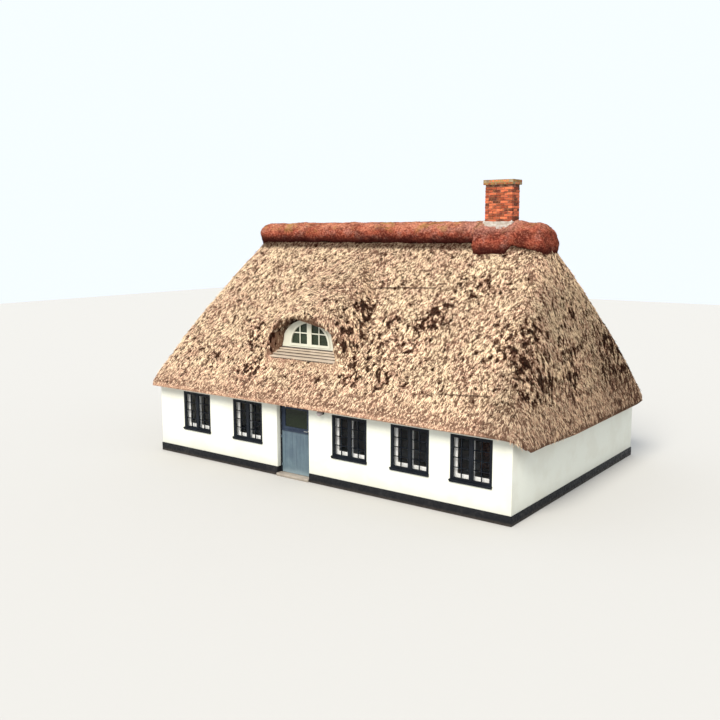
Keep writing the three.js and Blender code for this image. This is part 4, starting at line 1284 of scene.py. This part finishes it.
windowNodes = [f"front_window_{number}" for number in range(1, 6)]
windowNodes += [f"back_window_{number}" for number in range(1, 5)]
reach = Vector((-masonry["sillOverlap"], masonry["beyond"], 0.0))
openings = []
for node in windowNodes:
    low, high = boxOf(node)
    openings.append((low - reach + Vector((0, 0, masonry["sillUnder"])), high + reach))
doorFront, doorBack = masonry["doorY"]
doorway = (Vector((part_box("front_wall_left")[1][0], doorFront, -0.2)),
           Vector((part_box("front_wall_right")[0][0], doorBack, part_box("front_wall_over_door")[0][2])))
openings.append(doorway)
walls = addRing("walls", masonry["wallNodes"], masonry["wallThick"], openings, masonry["wallEase"])
finishPiece(walls, "limewash", masonry["wallNodes"])
plinth = addRing("plinth", masonry["plinthNodes"], masonry["plinthThick"], [doorway], masonry["plinthEase"])
finishPiece(plinth, "tar", masonry["plinthNodes"])
step = easedCopy("door_threshold", "threshold", masonry["stepEase"], 2, 35.0)
finishPiece(step, "stone", ["door_threshold"])
print("walls and plinth", triangles(walls) + triangles(plinth), "triangles")


# Windows: a frame with two casements of eight panes each, and a sill in two layers
window = {
    "width": 1.108,
    "foot": 0.82,
    "head": 1.93,
    "frame": 0.046,
    "mullion": 0.046,
    "stile": 0.030,
    "bar": 0.018,
    "rows": 4,
    "shadowGap": 0.003,
    "frameY": (0.006, 0.090),
    "mullionY": (0.008, 0.0595),
    "casementY": (0.011, 0.052),
    "barY": (0.020, 0.0585),
    "ease": 0.004,
    "railIn": 0.0005,
    "hingeRadius": 0.0055,
    "hingeTall": 0.075,
    "hingeInset": 0.17,
    "lowerSill": ((-0.006, -0.040, -0.035), (0.006, 0.020, -0.004)),
    "upperSill": ((-0.012, -0.052, 0.0), (0.012, 0.012, 0.034)),
    "sillFall": 0.008,
}


def addCasement(left, right, foot, head, hingeX):
    stile, ease = window["stile"], window["ease"]
    parts = addFrame(left, right, foot, head, window["casementY"], stile, stile, stile,
                     railIn=window["railIn"])
    middle = (left + right) / 2
    half = window["bar"] / 2
    front, back = window["barY"]
    low, high = foot + stile, head - stile
    parts.append(addBar("upright", (middle - half, front, low), (middle + half, back, high), ease))
    for row in range(1, window["rows"]):
        level = low + (high - low) * row / window["rows"]
        for start, end in ((left + stile, middle - half), (middle + half, right - stile)):
            parts.append(addBar("bar", (start, front, level - half), (end, back, level + half), ease))
    rise = Vector((0, 0, window["hingeTall"] / 2))
    for level in (foot + window["hingeInset"], head - window["hingeInset"]):
        centre = Vector((hingeX, window["frameY"][0] + window["hingeRadius"], level))
        parts.append(addRod("knuckle", centre - rise, centre + rise, window["hingeRadius"], 8))
    return parts


def makeWindow():
    width, foot, head = window["width"], window["foot"], window["head"]
    bar, ease, gap = window["frame"], window["ease"], window["shadowGap"]
    parts = addFrame(0, width, foot, head, window["frameY"], bar, bar, bar, ease)
    middle = width / 2
    half = window["mullion"] / 2
    front, back = window["mullionY"]
    parts.append(addBar("mullion", (middle - half, front, foot + bar), (middle + half, back, head - bar)))
    low, high = foot + bar + gap, head - bar - gap
    parts += addCasement(bar + gap, middle - half - gap, low, high, bar)
    parts += addCasement(middle + half + gap, width - bar - gap, low, high, width - bar)
    for low, high in (window["lowerSill"], window["upperSill"]):
        low, high = Vector(low) + Vector((0, 0, foot)), Vector(high) + Vector((width, 0, foot))
        parts.append(addBar("sill", low, high, ease))
    for vertex in parts[-1].data.vertices:
        if vertex.co.z > foot + 0.02 and vertex.co.y < -0.02:
            vertex.co.z -= window["sillFall"]
    return joinParts("window_model", parts)


# Behind the panes: the white frame of the inner glazing, with a deep foot rail
innerFrame = {
    "y": (0.135, 0.160),
    "edge": 0.004,
    "jamb": 0.125,
    "mullion": 0.056,
    "footRail": 0.140,
    "headRail": 0.060,
}


def makeInnerFrame():
    edge, footRail, headRail = innerFrame["edge"], innerFrame["footRail"], innerFrame["headRail"]
    foot, head = window["foot"] + edge, window["head"] - edge
    parts = addFrame(edge, window["width"] - edge, foot, head, innerFrame["y"], innerFrame["jamb"],
                     footRail, headRail)
    middle = window["width"] / 2
    half = innerFrame["mullion"] / 2
    front, back = innerFrame["y"]
    parts.append(addBar("mullion", (middle - half, front + 0.001, foot + footRail),
                        (middle + half, back, head - headRail)))
    return joinParts("inner_model", parts)


windowModel = makeWindow()
innerModel = makeInnerFrame()
for node in windowNodes:
    low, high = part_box(node)
    place, turn = (low[0] + masonry["sillOverlap"], -masonry["faceY"], 0), 0.0
    if node.startswith("back"):
        place, turn = (high[0] - masonry["sillOverlap"], masonry["faceY"], 0), 180.0
    finishPiece(copyPiece(windowModel, node + "_joinery", place, turn), "navy", [node])
    finishPiece(copyPiece(innerModel, node + "_inner", place, turn), "innerWhite")
print("windows", triangles(windowModel) + triangles(innerModel), "triangles each")
bpy.data.objects.remove(windowModel)
bpy.data.objects.remove(innerModel)


# Stable door: a framed and boarded lower leaf, and a glazed upper leaf with a ledge
door = {
    "left": -1.126,
    "right": -0.130,
    "stile": 0.105,
    "headRail": 0.105,
    "footRail": 0.165,
    "boards": 6,
    "boardGap": 0.002,
    "boardShift": 0.0006,
    "boardEase": 0.002,
    "railIn": 0.0005,
    "frontY": -3.761,
    "onFront": 0.0006,
    "boardY": -3.758,
    "slabY": -3.748,
    "backY": -3.746,
    "bead": 0.014,
    "beadY": (-3.757, -3.742),
}

innerLeft, innerRight = door["left"] + door["stile"], door["right"] - door["stile"]
foot, head = [corner[2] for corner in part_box("door_lower_leaf")]
slab = mergedCopy("door_lower_leaf", "leaf_slab")
for vertex in slab.data.vertices:
    if abs(vertex.co.y - door["frontY"]) < door["onFront"]:
        vertex.co.y = door["slabY"]
parts = [slab]
parts += addFrame(door["left"], door["right"], foot, head, (door["frontY"], door["backY"]), door["stile"],
                  door["footRail"], door["headRail"], railIn=door["railIn"])
boardWidth = (innerRight - innerLeft) / door["boards"]
margin = door["boardGap"] / 2
for number in range(door["boards"]):
    start = innerLeft + number * boardWidth
    boardFront = door["boardY"] + random.uniform(-door["boardShift"], door["boardShift"])
    parts.append(addBar("board", (start + margin, boardFront, foot + door["footRail"]),
                        (start + boardWidth - margin, door["backY"], head - door["headRail"]),
                        door["boardEase"]))
finishPiece(joinParts("lower_leaf", parts), "door", ["door_lower_leaf"], "lower_door")

foot, head = [corner[2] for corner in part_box("door_upper_leaf")]
parts = [easedCopy("door_upper_leaf", "leaf_frame", 0.003)]
parts += addFrame(innerLeft, innerRight, foot + door["stile"], head - door["stile"] / 2, door["beadY"],
                  door["bead"], door["bead"], door["bead"], 0.004)
finishPiece(joinParts("upper_leaf", parts), "doorRail", ["door_upper_leaf"], "upper_door")
finishPiece(easedCopy("door_frame", "door_frame_eased", 0.004), "navy", ["door_frame"])
handle = easedCopy("door_handle", "handle", 0.002, 2, 35.0)
finishPiece(handle, "steel", ["door_handle"], "upper_door")
print("door made")


# Dormer: board and arched frame eased, glazing bars, and four lapped boards below
dormer = {
    "middle": -0.758,
    "halfWidth": 0.651,
    "spring": 3.53,
    "crown": 4.116,
    "power": 2.1,
    "barLevel": 3.835,
    "barSide": 0.335,
    "bar": 0.034,
    "into": 0.02,
    "overFoot": (0.03, 0.05),
    "meeting": 0.078,
    "barY": (-3.012, -2.995),
    "meetingY": (-3.022, -2.995),
    "meetingGap": 0.003,
    "boards": 4,
    "noseY": -3.35,
    "run": 0.0875,
    "halfLength": 1.178,
    "shorter": 0.2 / 0.35,
    "firstTop": 3.184,
    "rise": 0.064,
    "fall": 0.020,
    "boardThick": 0.020,
    "noseThick": 0.034,
    "boardEase": 0.005,
    "lap": 0.02,
    "taper": 0.05,
    "unevenness": 0.002,
    "bedFrontY": -3.02,
    "bedTop": 3.17,
    "bedBack": 0.012,
    "bedDrop": (0.050, 0.018),
}


def archTop(offset):
    left = 1.0 - abs(offset / dormer["halfWidth"]) ** dormer["power"]
    return dormer["spring"] + (dormer["crown"] - dormer["spring"]) * left ** (1.0 / dormer["power"])


def archHalf(level):
    up = share(level, dormer["spring"], dormer["crown"])
    return dormer["halfWidth"] * (1.0 - up ** dormer["power"]) ** (1.0 / dormer["power"])


middle = dormer["middle"]
uprightFoot, stileFoot = [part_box("dormer_window")[0][2] + over for over in dormer["overFoot"]]
parts = [easedCopy("dormer_window", "arch_frame", 0.005)]
half = dormer["bar"] / 2
meeting = dormer["meeting"]
front, back = dormer["barY"]
for side in (-1, 1):
    x = middle + side * dormer["barSide"]
    top = archTop(x - middle) + dormer["into"]
    parts.append(addBar("upright", (x - half, front, uprightFoot), (x + half, back, top)))
reach = archHalf(dormer["barLevel"]) + dormer["into"]
for low, high in ((-reach, -meeting), (meeting, reach)):
    parts.append(addBar("bar", (middle + low, front + 0.001, dormer["barLevel"] - half),
                        (middle + high, back, dormer["barLevel"] + half)))
front, back = dormer["meetingY"]
for low, high in ((-meeting, -dormer["meetingGap"]), (dormer["meetingGap"], meeting)):
    parts.append(addBar("stile", (middle + low, front, stileFoot),
                        (middle + high, back, dormer["crown"] + 0.01)))
finishPiece(joinParts("dormer_sash", parts), "white", ["dormer_window"])
finishPiece(easedCopy("dormer_board", "dormer_front", 0.006), "white", ["dormer_board"])

# The bed under the apron boards is near black: painted shade showing in the gaps between them
bed = mergedCopy("dormer_apron", "apron_bed")
for vertex in bed.data.vertices:
    if vertex.co.y < dormer["bedFrontY"]:
        vertex.co.y += dormer["bedBack"]
        vertex.co.z -= dormer["bedDrop"][0 if vertex.co.z > dormer["bedTop"] else 1]
finishPiece(bed, "apronBedShade", ["dormer_apron"])
parts = []
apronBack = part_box("dormer_apron")[1][1] - 0.001
for number in range(dormer["boards"]):
    nose = dormer["noseY"] + number * dormer["run"]
    top = dormer["firstTop"] + number * dormer["rise"]
    reach = dormer["halfLength"] - dormer["shorter"] * number * dormer["run"]
    thick = dormer["boardThick"] if number else dormer["noseThick"]
    plank = addBar("plank", (middle - reach, nose, top - thick),
                   (middle + reach, min(nose + dormer["run"] + dormer["lap"], apronBack), top),
                   dormer["boardEase"])
    for vertex in plank.data.vertices:
        along = (vertex.co.y - nose) / dormer["run"]
        vertex.co.z += dormer["fall"] * along
        vertex.co.z += random.uniform(-dormer["unevenness"], dormer["unevenness"])
        vertex.co.x -= math.copysign(dormer["taper"] * along, vertex.co.x - middle)
    parts.append(plank)
finishPiece(joinParts("apron_boards", parts), "greyBoard")
print("dormer made")


# Lamp: an opal globe on a dark plate
lamp = {
    "plateY": (-3.9, -3.922),
    "plateRadius": 0.062,
    "neckY": (-3.92, -3.955),
    "neckRadius": 0.036,
    "globeY": -4.0205,
    "globeRadius": 0.0793,
    "globeBack": -3.953,
}
lampLow, lampHigh = boxOf("wall_lamp")
lampX, _, lampZ = (lampLow + lampHigh) / 2
plate, neck = [
    addRod(name, (lampX, lamp[name + "Y"][0], lampZ), (lampX, lamp[name + "Y"][1], lampZ),
           lamp[name + "Radius"], sides)
    for name, sides in (("plate", 24), ("neck", 20))
]
finishPiece(joinParts("lamp_fixing", [plate, neck]), "navy")
deselectAll()
bpy.ops.mesh.primitive_uv_sphere_add(segments=28, ring_count=16, radius=lamp["globeRadius"],
                                     location=(lampX, lamp["globeY"], lampZ))
globe = bpy.context.object
globe.name = "lamp_globe"
globe.rotation_euler = (math.radians(90), 0, 0)
applyPlace(globe)
for vertex in globe.data.vertices:
    vertex.co.y = min(vertex.co.y, lamp["globeBack"])
finishPiece(globe, "opal", ["wall_lamp"])


# Mortar at the chimney's foot: a fillet round the bricks, and a sloping skirt on the heather at either side
skirt = {
    "y": (0.20, 0.465),
    "z": (6.50, 6.800),
    "edgeTop": 6.655,
    "beyond": 0.012,
    "smear": 0.018,
    "smearFoot": 0.02,
    "smearTop": 6.88,
    "smearEase": 0.012,
    "filletDrop": 0.12,
    "voxel": 0.017,
    "lumps": (0.09, 0.030, 0.7),
}
fillet = mergedCopy("chimney_flashing", "fillet")
for vertex in fillet.data.vertices:
    vertex.co.z -= skirt["filletDrop"]
parts = [fillet]
bottom, top = skirt["z"]
for side in (-1, 1):
    near, far = sorted(side * value for value in skirt["y"])
    wedge = addBar("skirt", (shaftLow.x - skirt["beyond"], near, bottom),
                   (shaftHigh.x + skirt["beyond"], far, top), 0)
    for vertex in wedge.data.vertices:
        if abs(vertex.co.y) > sum(skirt["y"]) / 2 and vertex.co.z > (bottom + top) / 2:
            vertex.co.z = skirt["edgeTop"]
    parts.append(wedge)
    for x in (shaftLow.x, shaftHigh.x):
        corner = Vector((x, side * shaftHigh.y, top))
        spot = skirt["smear"]
        parts.append(addBar("smear", corner - Vector((spot, spot, skirt["smearFoot"])),
                            corner + Vector((spot, spot, skirt["smearTop"] - top)), skirt["smearEase"]))
flashing = joinParts("flashing", parts)
remeshed(flashing, skirt["voxel"], 1)
lumpy(flashing, "filletLumps", *skirt["lumps"])
applyModifiers(flashing)
finishPiece(flashing, "cement", ["chimney_flashing"], smoothAngle=60.0)
print("lamp and flashing made")
